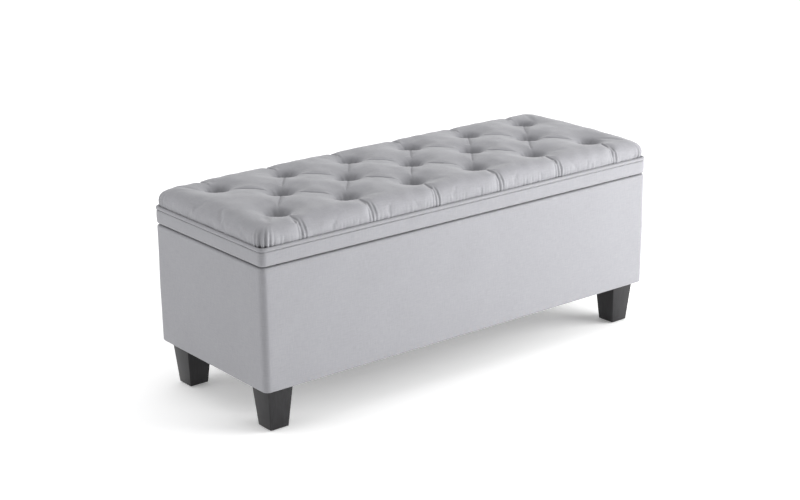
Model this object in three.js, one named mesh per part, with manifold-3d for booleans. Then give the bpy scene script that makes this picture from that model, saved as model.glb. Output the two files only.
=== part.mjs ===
// Upholstered storage bench with a hinged, tufted lid. Millimetres, +Z up.
// The origin is on the floor under the middle of the bench; +X runs along its length
// and -Y is the front, where the lid opens.
import * as THREE from "three";
import { mergeVertices } from "three/addons/utils/BufferGeometryUtils.js";
import Module from "manifold-3d";

const wasm = await Module();
wasm.setup();

// ---------------------------------------------------------------- driving dimensions
const BENCH_LENGTH = 1220;
const BENCH_DEPTH = 457;
const LEG_HEIGHT = 110;
const BODY_TOP = 409.5;
const LID_GAP = 3;
const BAND_TOP = 447;
const WELT_HEIGHT = 452;
const SEAT_HEIGHT = 508;

const PADDING = 6;
const RIM_PADDING = 3.5;
const CORNER_RADIUS = 16;
const EDGE_RADIUS = 6;
const FIT = 0.3;

const PANEL = 15;
const PANEL_BOTTOM = LEG_HEIGHT + 2;
const PANEL_TOP = BODY_TOP - RIM_PADDING;
const FLOOR_BOARD = 9;
const FLOOR_BOTTOM = LEG_HEIGHT + 37;
const LINING = 1;
const CLEAT_WIDTH = 20;
const CLEAT_HEIGHT = 25;
const BLOCK = 90;
const DUST_CLOTH = 1;

const LEG_TOP_WIDTH = 70;
const LEG_FOOT_WIDTH = 51;
const LEG_INSET = 54.6;
const GLIDE_HEIGHT = 2;
const GLIDE_RADIUS = 13;
const NAIL_RADIUS = 1.1;
const NAIL_LENGTH = 12;
const BOLT_RADIUS = 4;
const BOLT_IN_LEG = 42;
const BOLT_IN_BLOCK = 33;
const THROUGH = 1; // how far a cut runs past the face that it opens

const LID_BOTTOM = BODY_TOP + LID_GAP;
const BOARD_BOTTOM = LID_BOTTOM + 3.5;
const LID_BOARD = 15;
const BOXING = 5;
const TURN_UNDER = 35;
const WELT_RADIUS = 4.5;
const WELT_INSET = 3; // from the band's face to the middle of the cord
const COVER = 2.5;
const SEWN_EDGE = 8;
const CUSHION_WALL = 12;
const SHOULDER = 45;
const CROWN = 8;

const BUTTON_COLUMNS = 6;
const BUTTON_PITCH = 197.5;
const BUTTON_ROW_PITCH = 127;
const BUTTON_RADIUS = 9;
const BUTTON_ROOM = 1;
const BUTTON_SEAT = SEAT_HEIGHT - 38;
const BUTTON_HEIGHT = 5;
const PIT_RADIUS = 28;
const TWINE_RADIUS = 0.9;
const TWINE_BELOW_BOARD = 0.2;

const HINGE_X = 420;
const HINGE_WIDTH = 60;
const HINGE_LEAF = 28;
const LEAF_THICKNESS = 1.1;
const KNUCKLE_RADIUS = 3.3;
const KNUCKLES = 5;
const PIN_RADIUS = 1.5;
const PIN_HEAD = 1;
const PIN_FIT = 0.25;
const KNUCKLE_ROOM = 0.5;
const BARREL_ROOM = 0.9;
const BARREL_END_ROOM = 3;
const LEAF_CLEAR = 0.1;
const HINGE_Y = BENCH_DEPTH / 2 - 3.5;
const HINGE_Z = BODY_TOP + LID_GAP / 2;

const STAY_REACH = 150;
const STAY_DROP = 15;
const STAY_PIVOT_BACK = 60;
const STAY_PIVOT_DOWN = 90;
const STAY_STRIP = 2;
const STAY_SPACE = 0.3;
const ARM_WIDTH = 14;
const LINK_WIDTH = 12;
const PLATE_WIDTH = 36;
const PLATE_HEIGHT = 52;
const TAB_RADIUS = 8;
const TAB_WIDTH = 32;
const FOOT_LENGTH = 48;
const FOOT_REACH = 24;
const FOOT_THICKNESS = 1.5;
const RIVET_RADIUS = 3;
const RIVET_HEAD = 5;
const RIVET_HEAD_HEIGHT = 1.1;
const RIVET_HEAD_ROOM = 1.4;
const HAIR = 0.1; // the least gap between faces that touch

const BUMPER_RADIUS = 5;
const BUMPER_X = 560;

// ---------------------------------------------------------------- finishes
const FINISHES = {
  cover_fabric: { color: 0xbcbbc0, roughness: 0.85, metalness: 0 },
  espresso_wood: { color: 0x2b2829, roughness: 0.4, metalness: 0 },
  plywood: { color: 0xc9a878, roughness: 0.7, metalness: 0 },
  foam: { color: 0xe8dcb4, roughness: 0.95, metalness: 0 },
  lining_cloth: { color: 0x262628, roughness: 0.9, metalness: 0 },
  zinc_steel: { color: 0xb4b7ba, roughness: 0.35, metalness: 0.9 },
  glide_plastic: { color: 0x1d1d1f, roughness: 0.5, metalness: 0 },
  bumper_rubber: { color: 0x303032, roughness: 0.8, metalness: 0 },
};

// ---------------------------------------------------------------- solids
function solidOf(geometry) {
  const bare = geometry.clone();
  bare.deleteAttribute("normal");
  bare.deleteAttribute("uv");
  const merged = mergeVertices(bare, 1e-4);
  return new wasm.Manifold(
    new wasm.Mesh({
      numProp: 3,
      vertProperties: merged.attributes.position.array,
      triVerts: new Uint32Array(merged.index.array),
    }),
  );
}

function geometryOf(solid) {
  const mesh = solid.getMesh();
  const geometry = new THREE.BufferGeometry();
  geometry.setAttribute("position", new THREE.BufferAttribute(mesh.vertProperties, 3));
  geometry.setIndex(new THREE.BufferAttribute(mesh.triVerts, 1));
  geometry.computeVertexNormals();
  return geometry;
}

// A geometry with others joined to it and then others cut away.
function shaped(geometry, { joined = [], cut = [] }) {
  let solid = solidOf(geometry);
  for (const other of joined) solid = solid.add(solidOf(other));
  for (const other of cut) solid = solid.subtract(solidOf(other));
  return geometryOf(solid);
}

function piece(name, finish, geometry) {
  const mesh = new THREE.Mesh(geometry, new THREE.MeshStandardMaterial(FINISHES[finish]));
  mesh.name = name;
  return mesh;
}

function block(low, high) {
  const size = high.map((value, i) => value - low[i]);
  const middle = high.map((value, i) => (value + low[i]) / 2);
  return new THREE.BoxGeometry(...size).translate(...middle);
}

// A block centred on x and y, from one height to another.
function slab(length, depth, bottom, top) {
  return block([-length / 2, -depth / 2, bottom], [length / 2, depth / 2, top]);
}

function upright(radius, bottom, top, segments = 12) {
  return new THREE.CylinderGeometry(radius, radius, top - bottom, segments)
    .rotateX(Math.PI / 2)
    .translate(0, 0, (top + bottom) / 2);
}

// A cylinder along X through (y, z).
function crossbar(radius, from, to, y, z, segments = 12) {
  return new THREE.CylinderGeometry(radius, radius, to - from, segments)
    .rotateZ(Math.PI / 2)
    .translate((from + to) / 2, y, z);
}

// A flat shape drawn in the Y-Z plane, given a thickness along X.
function crosswise(shape, from, thickness) {
  const turned = new THREE.Matrix4().makeBasis(
    new THREE.Vector3(0, 1, 0),
    new THREE.Vector3(0, 0, 1),
    new THREE.Vector3(1, 0, 0),
  );
  return new THREE.ExtrudeGeometry(shape, {
    depth: thickness,
    bevelEnabled: false,
    curveSegments: 6,
  })
    .applyMatrix4(turned)
    .translate(from, 0, 0);
}

// The points of a rectangle with round corners, anticlockwise from above.
function roundedRing(length, depth, radius, height, steps = 4) {
  const centres = [
    [1, 1],
    [-1, 1],
    [-1, -1],
    [1, -1],
  ];
  return centres.flatMap(([sx, sy], corner) =>
    Array.from({ length: steps + 1 }, (_, step) => {
      const angle = ((corner + step / steps) * Math.PI) / 2;
      return [
        sx * (length / 2 - radius) + radius * Math.cos(angle),
        sy * (depth / 2 - radius) + radius * Math.sin(angle),
        height,
      ];
    }),
  );
}

// A closed body through a stack of rings that all have the same number of points.
function lofted(rings) {
  const count = rings[0].length;
  const points = rings.flat();
  const triangles = [];
  for (let level = 0; level + 1 < rings.length; level++)
    for (let i = 0; i < count; i++) {
      const a = level * count + i;
      const b = level * count + ((i + 1) % count);
      triangles.push(a, b, b + count, a, b + count, a + count);
    }
  const top = (rings.length - 1) * count;
  for (let i = 1; i + 1 < count; i++) {
    triangles.push(0, i + 1, i);
    triangles.push(top, top + i, top + i + 1);
  }
  const geometry = new THREE.BufferGeometry();
  geometry.setAttribute("position", new THREE.Float32BufferAttribute(points.flat(), 3));
  geometry.setIndex(triangles);
  return geometry;
}

// A block with round corners whose bottom and top edges are rounded too.
function softBlock(length, depth, bottom, top, bottomRadius, topRadius) {
  const rings = [];
  const ring = (inset, height) =>
    rings.push(
      roundedRing(length - 2 * inset, depth - 2 * inset, CORNER_RADIUS - inset, height),
    );
  const steps = 3;
  for (let i = 0; i <= steps; i++) {
    const angle = ((1 - i / steps) * Math.PI) / 2;
    ring(bottomRadius * (1 - Math.cos(angle)), bottom + bottomRadius * (1 - Math.sin(angle)));
  }
  for (let i = 0; i <= steps; i++) {
    const angle = ((i / steps) * Math.PI) / 2;
    ring(topRadius * (1 - Math.cos(angle)), top - topRadius * (1 - Math.sin(angle)));
  }
  return lofted(rings);
}

// ---------------------------------------------------------------- base
const boardLength = BENCH_LENGTH - 2 * PADDING;
const boardDepth = BENCH_DEPTH - 2 * PADDING;
const wellLength = boardLength - 2 * PANEL;
const wellDepth = boardDepth - 2 * PANEL;
const corners = [
  { name: "front_left", sx: -1, sy: -1 },
  { name: "front_right", sx: 1, sy: -1 },
  { name: "back_left", sx: -1, sy: 1 },
  { name: "back_right", sx: 1, sy: 1 },
];

function basePanels() {
  const group = new THREE.Group();
  for (const [name, side] of [["front_panel", -1], ["back_panel", 1]]) {
    const panel = piece(name, "plywood", slab(boardLength, PANEL, PANEL_BOTTOM, PANEL_TOP));
    panel.position.y = (side * (wellDepth + PANEL)) / 2;
    group.add(panel);
  }
  for (const [name, side] of [["left_end_panel", -1], ["right_end_panel", 1]]) {
    const panel = piece(name, "plywood", slab(PANEL, wellDepth, PANEL_BOTTOM, PANEL_TOP));
    panel.position.x = (side * (wellLength + PANEL)) / 2;
    group.add(panel);
  }
  const floor = slab(wellLength, wellDepth, FLOOR_BOTTOM, FLOOR_BOTTOM + FLOOR_BOARD);
  group.add(piece("storage_floor", "plywood", floor));
  return group;
}

// Cleats under the storage floor, between the corner blocks that take the leg bolts.
function floorCleats() {
  const group = new THREE.Group();
  const bottom = FLOOR_BOTTOM - CLEAT_HEIGHT;
  for (const [name, side] of [["front_cleat", -1], ["back_cleat", 1]]) {
    const cleat = slab(wellLength - 2 * BLOCK, CLEAT_WIDTH, bottom, FLOOR_BOTTOM);
    cleat.translate(0, (side * (wellDepth - CLEAT_WIDTH)) / 2, 0);
    group.add(piece(name, "plywood", cleat));
  }
  for (const [name, side] of [["left_cleat", -1], ["right_cleat", 1]]) {
    const cleat = slab(CLEAT_WIDTH, wellDepth - 2 * BLOCK, bottom, FLOOR_BOTTOM);
    cleat.translate((side * (wellLength - CLEAT_WIDTH)) / 2, 0, 0);
    group.add(piece(name, "plywood", cleat));
  }
  return group;
}

function cornerBlock({ name, sx, sy }) {
  const low = LEG_HEIGHT + DUST_CLOTH;
  const x = sx * (wellLength / 2 - BLOCK / 2);
  const y = sy * (wellDepth / 2 - BLOCK / 2);
  const body = slab(BLOCK, BLOCK, low, FLOOR_BOTTOM).translate(x, y, 0);
  const [legX, legY] = legPlace(sx, sy);
  const hole = upright(BOLT_RADIUS + FIT, 0, BODY_TOP).translate(legX, legY, 0);
  return piece(name + "_corner_block", "plywood", shaped(body, { cut: [hole] }));
}

// The fabric wrap with its thin padding: outside, over the rim, and under the bottom edge.
function baseCover() {
  const outer = softBlock(
    BENCH_LENGTH,
    BENCH_DEPTH,
    LEG_HEIGHT,
    BODY_TOP,
    EDGE_RADIUS,
    EDGE_RADIUS,
  );
  const frame = slab(boardLength, boardDepth, LEG_HEIGHT - THROUGH, PANEL_TOP);
  const well = slab(wellLength, wellDepth, LEG_HEIGHT - THROUGH, BODY_TOP + THROUGH);
  return piece("base_cover", "cover_fabric", shaped(outer, { cut: [frame, well, ...barrels()] }));
}

function storageLining() {
  const bottom = FLOOR_BOTTOM + FLOOR_BOARD;
  const outer = slab(wellLength, wellDepth, bottom, PANEL_TOP);
  const inner = slab(
    wellLength - 2 * LINING,
    wellDepth - 2 * LINING,
    bottom + LINING,
    PANEL_TOP + THROUGH,
  );
  return piece("storage_lining", "lining_cloth", shaped(outer, { cut: [inner] }));
}

function dustCover() {
  const cloth = slab(boardLength, boardDepth, LEG_HEIGHT, LEG_HEIGHT + DUST_CLOTH);
  const holes = corners.map(({ sx, sy }) =>
    upright(BOLT_RADIUS + FIT, 0, BODY_TOP).translate(...legPlace(sx, sy), 0),
  );
  return piece("dust_cover", "lining_cloth", shaped(cloth, { cut: holes }));
}

function legPlace(sx, sy) {
  return [sx * (BENCH_LENGTH / 2 - LEG_INSET), sy * (BENCH_DEPTH / 2 - LEG_INSET)];
}

// A square leg, tapered on all four sides, with its hanger bolt and its nail-on glide.
function leg({ name, sx, sy }) {
  const group = new THREE.Group();
  group.position.set(...legPlace(sx, sy), 0);
  const cornerReach = Math.SQRT1_2; // a square's centre to its corner, as a share of its side
  const height = LEG_HEIGHT - GLIDE_HEIGHT;
  const post = new THREE.CylinderGeometry(
    LEG_TOP_WIDTH * cornerReach,
    LEG_FOOT_WIDTH * cornerReach,
    height,
    4,
  )
    .rotateY(Math.PI / 4)
    .rotateX(Math.PI / 2)
    .translate(0, 0, GLIDE_HEIGHT + height / 2);
  const boltHole = upright(
    BOLT_RADIUS + FIT,
    LEG_HEIGHT - BOLT_IN_LEG,
    LEG_HEIGHT + THROUGH,
  );
  const nailHole = upright(NAIL_RADIUS + FIT, 0, GLIDE_HEIGHT + NAIL_LENGTH);
  group.add(
    piece(name + "_leg", "espresso_wood", shaped(post, { cut: [boltHole, nailHole] })),
  );

  const bolt = upright(
    BOLT_RADIUS,
    LEG_HEIGHT - BOLT_IN_LEG + FIT,
    LEG_HEIGHT + BOLT_IN_BLOCK,
  );
  group.add(piece(name + "_hanger_bolt", "zinc_steel", bolt));

  const pad = upright(GLIDE_RADIUS, 0, GLIDE_HEIGHT, 16);
  const nail = upright(NAIL_RADIUS, 0, GLIDE_HEIGHT + NAIL_LENGTH - FIT);
  group.add(piece(name + "_glide", "glide_plastic", shaped(pad, { joined: [nail] })));
  return group;
}

// Rubber bumpers on the front rim: the closed lid rests on them.
function bumper(name, side) {
  const dome = upright(BUMPER_RADIUS, BODY_TOP, LID_BOTTOM - FIT);
  const rimMiddle = -(wellDepth + PANEL) / 2;
  return piece(name, "bumper_rubber", dome.translate(side * BUMPER_X, rimMiddle, 0));
}

// ---------------------------------------------------------------- lid
const buttonRows = [
  { name: "front_button_row", y: -BUTTON_ROW_PITCH, count: BUTTON_COLUMNS },
  { name: "middle_button_row", y: 0, count: BUTTON_COLUMNS - 1 },
  { name: "back_button_row", y: BUTTON_ROW_PITCH, count: BUTTON_COLUMNS },
];

function buttonXs(count) {
  return Array.from({ length: count }, (_, i) => (i - (count - 1) / 2) * BUTTON_PITCH);
}

const buttonPlaces = buttonRows.flatMap(({ y, count }) =>
  buttonXs(count).map((x) => [x, y]),
);

function lidBoard() {
  const board = slab(
    BENCH_LENGTH - 2 * BOXING,
    BENCH_DEPTH - 2 * BOXING,
    BOARD_BOTTOM,
    BOARD_BOTTOM + LID_BOARD,
  );
  const outline = softBlock(
    BENCH_LENGTH - 2 * BOXING,
    BENCH_DEPTH - 2 * BOXING,
    BOARD_BOTTOM,
    BOARD_BOTTOM + LID_BOARD,
    0,
    0,
  );
  const holes = buttonPlaces.map(([x, y]) =>
    upright(2 * TWINE_RADIUS, 0, SEAT_HEIGHT, 6).translate(x, y, 0),
  );
  const cornered = geometryOf(solidOf(board).intersect(solidOf(outline)));
  return piece("lid_board", "plywood", shaped(cornered, { cut: holes }));
}

// The plain band round the lid, turned under the board's edge.
function lidBoxing() {
  const topEdge = 1;
  const outer = softBlock(
    BENCH_LENGTH,
    BENCH_DEPTH,
    LID_BOTTOM,
    BAND_TOP,
    EDGE_RADIUS,
    topEdge,
  );
  const room = softBlock(
    BENCH_LENGTH - 2 * BOXING + 2 * FIT,
    BENCH_DEPTH - 2 * BOXING + 2 * FIT,
    BOARD_BOTTOM,
    BAND_TOP + THROUGH,
    0,
    0,
  );
  const opening = slab(
    BENCH_LENGTH - 2 * TURN_UNDER,
    BENCH_DEPTH - 2 * TURN_UNDER,
    LID_BOTTOM - THROUGH,
    BAND_TOP + THROUGH,
  );
  const cut = [room, opening, ...barrels()];
  return piece("lid_boxing", "cover_fabric", shaped(outer, { cut }));
}

// The piped cord sewn between the band and the tufted top.
function lidWelt() {
  const sides = 6;
  const rings = Array.from({ length: sides }, (_, i) => {
    const angle = (2 * Math.PI * i) / sides;
    const out = WELT_RADIUS * Math.cos(angle) - WELT_INSET;
    return roundedRing(
      BENCH_LENGTH + 2 * out,
      BENCH_DEPTH + 2 * out,
      CORNER_RADIUS + out,
      WELT_HEIGHT + WELT_RADIUS * Math.sin(angle),
    );
  });
  const count = rings[0].length;
  const triangles = [];
  for (let side = 0; side < sides; side++)
    for (let i = 0; i < count; i++) {
      const a = side * count + i;
      const b = side * count + ((i + 1) % count);
      const up = (((side + 1) % sides) - side) * count;
      triangles.push(a, b, b + up, a, b + up, a + up);
    }
  const geometry = new THREE.BufferGeometry();
  const points = rings.flat(2);
  geometry.setAttribute("position", new THREE.Float32BufferAttribute(points, 3));
  geometry.setIndex(triangles);
  return piece("lid_welt", "cover_fabric", geometry);
}

// The crowned cushion shape, drawn in by a given amount all over, from a given height up.
function cushionForm(inset, bottom) {
  const top = SEAT_HEIGHT - inset;
  const rings = [];
  const cornerGrowth = 0.4; // the corners get rounder towards the top
  const ring = (inwards, height) =>
    rings.push(
      roundedRing(
        BENCH_LENGTH - 2 * (inset + inwards),
        BENCH_DEPTH - 2 * (inset + inwards),
        CORNER_RADIUS - inset + cornerGrowth * inwards,
        height,
      ),
    );
  ring(SEWN_EDGE, bottom);
  ring(SEWN_EDGE, WELT_HEIGHT + CUSHION_WALL);
  const steps = 4;
  const rise = top - CROWN - WELT_HEIGHT - CUSHION_WALL;
  for (let i = 1; i <= steps; i++) {
    const angle = ((i / steps) * Math.PI) / 2;
    ring(
      SEWN_EDGE + SHOULDER * (1 - Math.cos(angle)),
      WELT_HEIGHT + CUSHION_WALL + rise * Math.sin(angle),
    );
  }
  ring(SEWN_EDGE + 3 * SHOULDER, top);
  return lofted(rings);
}

// The wells that the buttons pull into the cushion, each wider towards the top.
function pits(extra) {
  const low = BUTTON_SEAT - extra;
  const high = SEAT_HEIGHT + THROUGH;
  return buttonPlaces.map(([x, y]) =>
    new THREE.CylinderGeometry(
      PIT_RADIUS + extra,
      BUTTON_RADIUS + BUTTON_ROOM + extra,
      high - low,
      8,
    )
      .rotateX(Math.PI / 2)
      .translate(x, y, (high + low) / 2),
  );
}

function twineHoles() {
  return buttonPlaces.map(([x, y]) =>
    upright(TWINE_RADIUS + FIT, 0, SEAT_HEIGHT, 6).translate(x, y, 0),
  );
}

function tuftedCover() {
  const bottom = WELT_HEIGHT - 1;
  const padding = shaped(cushionForm(COVER, bottom - THROUGH), { cut: pits(COVER) });
  return piece(
    "tufted_cover",
    "cover_fabric",
    shaped(cushionForm(0, bottom), { cut: [...pits(0), padding, ...twineHoles()] }),
  );
}

function cushionFoam() {
  const gap = COVER + FIT;
  return piece(
    "cushion_foam",
    "foam",
    shaped(cushionForm(gap, BOARD_BOTTOM + LID_BOARD), {
      cut: [...pits(gap), ...twineHoles()],
    }),
  );
}

// A row of covered buttons on one length of twine, which runs on below the board.
function buttonRow({ name, y, count }) {
  const xs = buttonXs(count);
  const runHeight = BOARD_BOTTOM - TWINE_RADIUS - TWINE_BELOW_BOARD;
  const buttonTop = 0.7; // the button narrows to this share of its radius
  const run = crossbar(TWINE_RADIUS, xs[0], xs[count - 1], y, runHeight, 6);
  const joined = xs.flatMap((x) => [
    upright(TWINE_RADIUS, runHeight, BUTTON_SEAT + THROUGH, 6).translate(x, y, 0),
    new THREE.CylinderGeometry(buttonTop * BUTTON_RADIUS, BUTTON_RADIUS, BUTTON_HEIGHT, 10)
      .rotateX(Math.PI / 2)
      .translate(x, y, BUTTON_SEAT + FIT + BUTTON_HEIGHT / 2),
  ]);
  return piece(name, "cover_fabric", shaped(run, { joined }));
}

function lidUnderCloth() {
  const cloth = slab(
    BENCH_LENGTH - 2 * TURN_UNDER - 2 * FIT,
    BENCH_DEPTH - 2 * TURN_UNDER - 2 * FIT,
    LID_BOTTOM,
    LID_BOTTOM + DUST_CLOTH,
  );
  return piece("lid_under_cloth", "lining_cloth", cloth);
}

// ---------------------------------------------------------------- butt hinges
const hinges = [
  { name: "left_hinge", x: -HINGE_X },
  { name: "right_hinge", x: HINGE_X },
];

// The room that the hinge barrels need in the covers.
function barrels() {
  const reach = HINGE_WIDTH / 2 + BARREL_END_ROOM;
  return hinges.map(({ x }) =>
    crossbar(KNUCKLE_RADIUS + BARREL_ROOM, x - reach, x + reach, HINGE_Y, HINGE_Z),
  );
}

// One leaf, lying below or above the pin's centre, with every other knuckle.
function hingeLeaf(name, first, bottom) {
  const plate = block(
    [-HINGE_WIDTH / 2, HINGE_Y - HINGE_LEAF, HINGE_Z + bottom],
    [HINGE_WIDTH / 2, HINGE_Y, HINGE_Z + bottom + LEAF_THICKNESS],
  );
  const pitch = HINGE_WIDTH / KNUCKLES;
  const own = [];
  const others = [];
  for (let i = 0; i < KNUCKLES; i++) {
    const from = -HINGE_WIDTH / 2 + i * pitch;
    if (i % 2 === first)
      own.push(
        crossbar(KNUCKLE_RADIUS, from + FIT / 2, from + pitch - FIT / 2, HINGE_Y, HINGE_Z),
      );
    else
      others.push(
        crossbar(
          KNUCKLE_RADIUS + KNUCKLE_ROOM,
          from - FIT / 2,
          from + pitch + FIT / 2,
          HINGE_Y,
          HINGE_Z,
        ),
      );
  }
  const trimmed = shaped(plate, { cut: others });
  const bore = crossbar(
    PIN_RADIUS + PIN_FIT,
    -HINGE_WIDTH,
    HINGE_WIDTH,
    HINGE_Y,
    HINGE_Z,
  );
  const joined = shaped(trimmed, { joined: own });
  return piece(name, "zinc_steel", shaped(joined, { cut: [bore] }));
}

function hinge({ name, x }) {
  const group = new THREE.Group();
  group.position.x = x;
  group.add(hingeLeaf(name + "_base_leaf", 0, LEAF_CLEAR - LID_GAP / 2));
  group.add(hingeLeaf(name + "_lid_leaf", 1, LID_GAP / 2 - LEAF_CLEAR - LEAF_THICKNESS));
  const half = HINGE_WIDTH / 2 + FIT;
  const end = half + PIN_HEAD;
  const shaft = crossbar(PIN_RADIUS, -end, end, HINGE_Y, HINGE_Z);
  const heads = [
    crossbar(PIN_RADIUS + PIN_HEAD, -end, -half, HINGE_Y, HINGE_Z),
    crossbar(PIN_RADIUS + PIN_HEAD, half, end, HINGE_Y, HINGE_Z),
  ];
  group.add(piece(name + "_pin", "zinc_steel", shaped(shaft, { joined: heads })));
  return group;
}

// ---------------------------------------------------------------- lid stays
// Each stay is a parallelogram with the hinge: the arm keeps parallel to the line from the
// hinge to the lid pivot, and the link to the line from the hinge to the wall pivot.
const wallPivot = [HINGE_Y - STAY_PIVOT_BACK, HINGE_Z - STAY_PIVOT_DOWN];
const lidPivot = [HINGE_Y - STAY_REACH, HINGE_Z - STAY_DROP];
const elbow = [wallPivot[0] - STAY_REACH, wallPivot[1] - STAY_DROP];

// A strip with round ends and a rivet hole at each end.
function stayStrip([ay, az], [by, bz], width) {
  const angle = Math.atan2(bz - az, by - ay);
  const shape = new THREE.Shape();
  shape.absarc(by, bz, width / 2, angle - Math.PI / 2, angle + Math.PI / 2);
  shape.absarc(ay, az, width / 2, angle + Math.PI / 2, angle + (3 * Math.PI) / 2);
  for (const [y, z] of [
    [ay, az],
    [by, bz],
  ]) {
    const hole = new THREE.Path();
    hole.absarc(y, z, RIVET_RADIUS + FIT, 0, 2 * Math.PI, true);
    shape.holes.push(hole);
  }
  return shape;
}

function rivet(name, [y, z], side, from, to) {
  const head = RIVET_HEAD_HEIGHT;
  const low = Math.min(side * from, side * to) - HAIR;
  const high = Math.max(side * from, side * to) + HAIR;
  const shaft = crossbar(RIVET_RADIUS, low - head / 2, high + head / 2, y, z);
  const heads = [
    crossbar(RIVET_HEAD, low - head, low, y, z),
    crossbar(RIVET_HEAD, high, high + head, y, z),
  ];
  return piece(name, "zinc_steel", shaped(shaft, { joined: heads }));
}

// A flat shape between two planes, given as distances from the middle of the bench.
function uprightSheet(shape, side, outside, inside) {
  return crosswise(shape, Math.min(side * outside, side * inside), outside - inside);
}

// A cylinder along X between two such distances.
function stud(radius, side, outside, inside, [y, z]) {
  const ends = [side * outside, side * inside];
  return crossbar(radius, Math.min(...ends), Math.max(...ends), y, z);
}

function stay(end, side) {
  const group = new THREE.Group();
  const add = (name, geometry) => group.add(piece(end + name, "zinc_steel", geometry));

  // Planes measured from the middle of the bench: wall plate, arm, link, lid bracket.
  const plate = wellLength / 2 - LINING - HAIR;
  const arm = plate - STAY_STRIP - RIVET_HEAD_ROOM;
  const link = arm - STAY_STRIP - STAY_SPACE;
  const bracket = link - STAY_STRIP - STAY_SPACE;
  const plateFace = plate - STAY_STRIP;

  const [wallY, wallZ] = wallPivot;
  const plateShape = new THREE.Shape();
  plateShape.moveTo(wallY - PLATE_WIDTH / 2, wallZ - PLATE_HEIGHT / 2);
  plateShape.lineTo(wallY + PLATE_WIDTH / 2, wallZ - PLATE_HEIGHT / 2);
  plateShape.lineTo(wallY + PLATE_WIDTH / 2, wallZ + PLATE_HEIGHT / 2);
  plateShape.lineTo(wallY - PLATE_WIDTH / 2, wallZ + PLATE_HEIGHT / 2);
  plateShape.closePath();
  const pivotPin = stud(RIVET_RADIUS, side, plate - HAIR, link + 2 * HAIR, wallPivot);
  const washer = stud(RIVET_HEAD, side, plateFace, arm + 2 * HAIR, wallPivot);
  const wallPlate = uprightSheet(plateShape, side, plate, plateFace);
  add("_stay_wall_plate", shaped(wallPlate, { joined: [pivotPin, washer] }));

  const armShape = stayStrip(wallPivot, elbow, ARM_WIDTH);
  add("_stay_arm", uprightSheet(armShape, side, arm, arm - STAY_STRIP));
  const linkShape = stayStrip(elbow, lidPivot, LINK_WIDTH);
  add("_stay_link", uprightSheet(linkShape, side, link, link - STAY_STRIP));

  const [lidY, lidZ] = lidPivot;
  const underLid = LID_BOTTOM - HAIR;
  const tab = new THREE.Shape();
  tab.moveTo(lidY - TAB_WIDTH / 2, underLid);
  tab.lineTo(lidY - TAB_RADIUS, lidZ);
  tab.absarc(lidY, lidZ, TAB_RADIUS, Math.PI, 2 * Math.PI);
  tab.lineTo(lidY + TAB_WIDTH / 2, underLid);
  tab.closePath();
  const hole = new THREE.Path();
  hole.absarc(lidY, lidZ, RIVET_RADIUS + HAIR / 2, 0, 2 * Math.PI, true);
  tab.holes.push(hole);
  const inside = bracket - FOOT_REACH;
  const foot = block(
    [Math.min(side * bracket, side * inside), lidY - FOOT_LENGTH / 2, underLid - FOOT_THICKNESS],
    [Math.max(side * bracket, side * inside), lidY + FOOT_LENGTH / 2, underLid],
  );
  const upstand = uprightSheet(tab, side, bracket, bracket - STAY_STRIP);
  add("_stay_lid_bracket", shaped(upstand, { joined: [foot] }));

  group.add(rivet(end + "_stay_elbow_rivet", elbow, side, arm, link - STAY_STRIP));
  group.add(rivet(end + "_stay_lid_rivet", lidPivot, side, link, bracket - STAY_STRIP));
  return group;
}

// ---------------------------------------------------------------- the bench
const bench = new THREE.Group();
bench.add(basePanels(), floorCleats(), ...corners.map(cornerBlock));
bench.add(baseCover(), storageLining(), dustCover(), ...corners.map(leg));
bench.add(bumper("left_bumper", -1), bumper("right_bumper", 1));
bench.add(lidBoard(), lidBoxing(), lidWelt(), tuftedCover(), cushionFoam());
bench.add(...buttonRows.map(buttonRow), lidUnderCloth());
bench.add(...hinges.map(hinge), stay("left", -1), stay("right", 1));

export default bench;
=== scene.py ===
"""An upholstered storage bench: the looks of every piece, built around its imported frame. Metres, +Z up."""
import math

import bmesh
import bpy
import numpy as np
from bpy.props import FloatProperty, FloatVectorProperty, PointerProperty
from bpy.types import Operator, Panel, PropertyGroup
from mathutils import Matrix, Vector


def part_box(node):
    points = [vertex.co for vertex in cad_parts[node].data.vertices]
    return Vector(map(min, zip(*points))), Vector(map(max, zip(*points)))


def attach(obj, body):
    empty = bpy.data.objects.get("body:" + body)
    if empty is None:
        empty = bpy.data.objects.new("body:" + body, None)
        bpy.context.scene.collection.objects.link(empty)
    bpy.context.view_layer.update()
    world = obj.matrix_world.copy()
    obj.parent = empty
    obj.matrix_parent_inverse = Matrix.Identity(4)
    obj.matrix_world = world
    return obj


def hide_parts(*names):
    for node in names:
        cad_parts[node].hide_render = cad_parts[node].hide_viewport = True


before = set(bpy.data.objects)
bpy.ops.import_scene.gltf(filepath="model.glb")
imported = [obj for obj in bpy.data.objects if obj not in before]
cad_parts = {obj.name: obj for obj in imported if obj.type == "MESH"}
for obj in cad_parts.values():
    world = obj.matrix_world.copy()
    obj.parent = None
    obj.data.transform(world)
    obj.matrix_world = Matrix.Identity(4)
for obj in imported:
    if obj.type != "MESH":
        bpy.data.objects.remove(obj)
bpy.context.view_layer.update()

bl_info = {
    "name": "Storage Bench Upholstery",
    "version": (1, 0, 0),
    "blender": (4, 5, 0),
    "location": "3D View > Sidebar > Bench",
    "description": "Tufted top, covers, legs and hardware of a storage bench",
    "category": "Add Mesh",
}

CORNERS = ("front_left", "front_right", "back_left", "back_right")
ENDS = (("left", -1), ("right", 1))


# ---------------------------------------------------------------- places taken from the frame
def middle(node):
    low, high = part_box(node)
    return (low + high) / 2


def half_size(node):
    low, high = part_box(node)
    return (high - low) / 2


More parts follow.
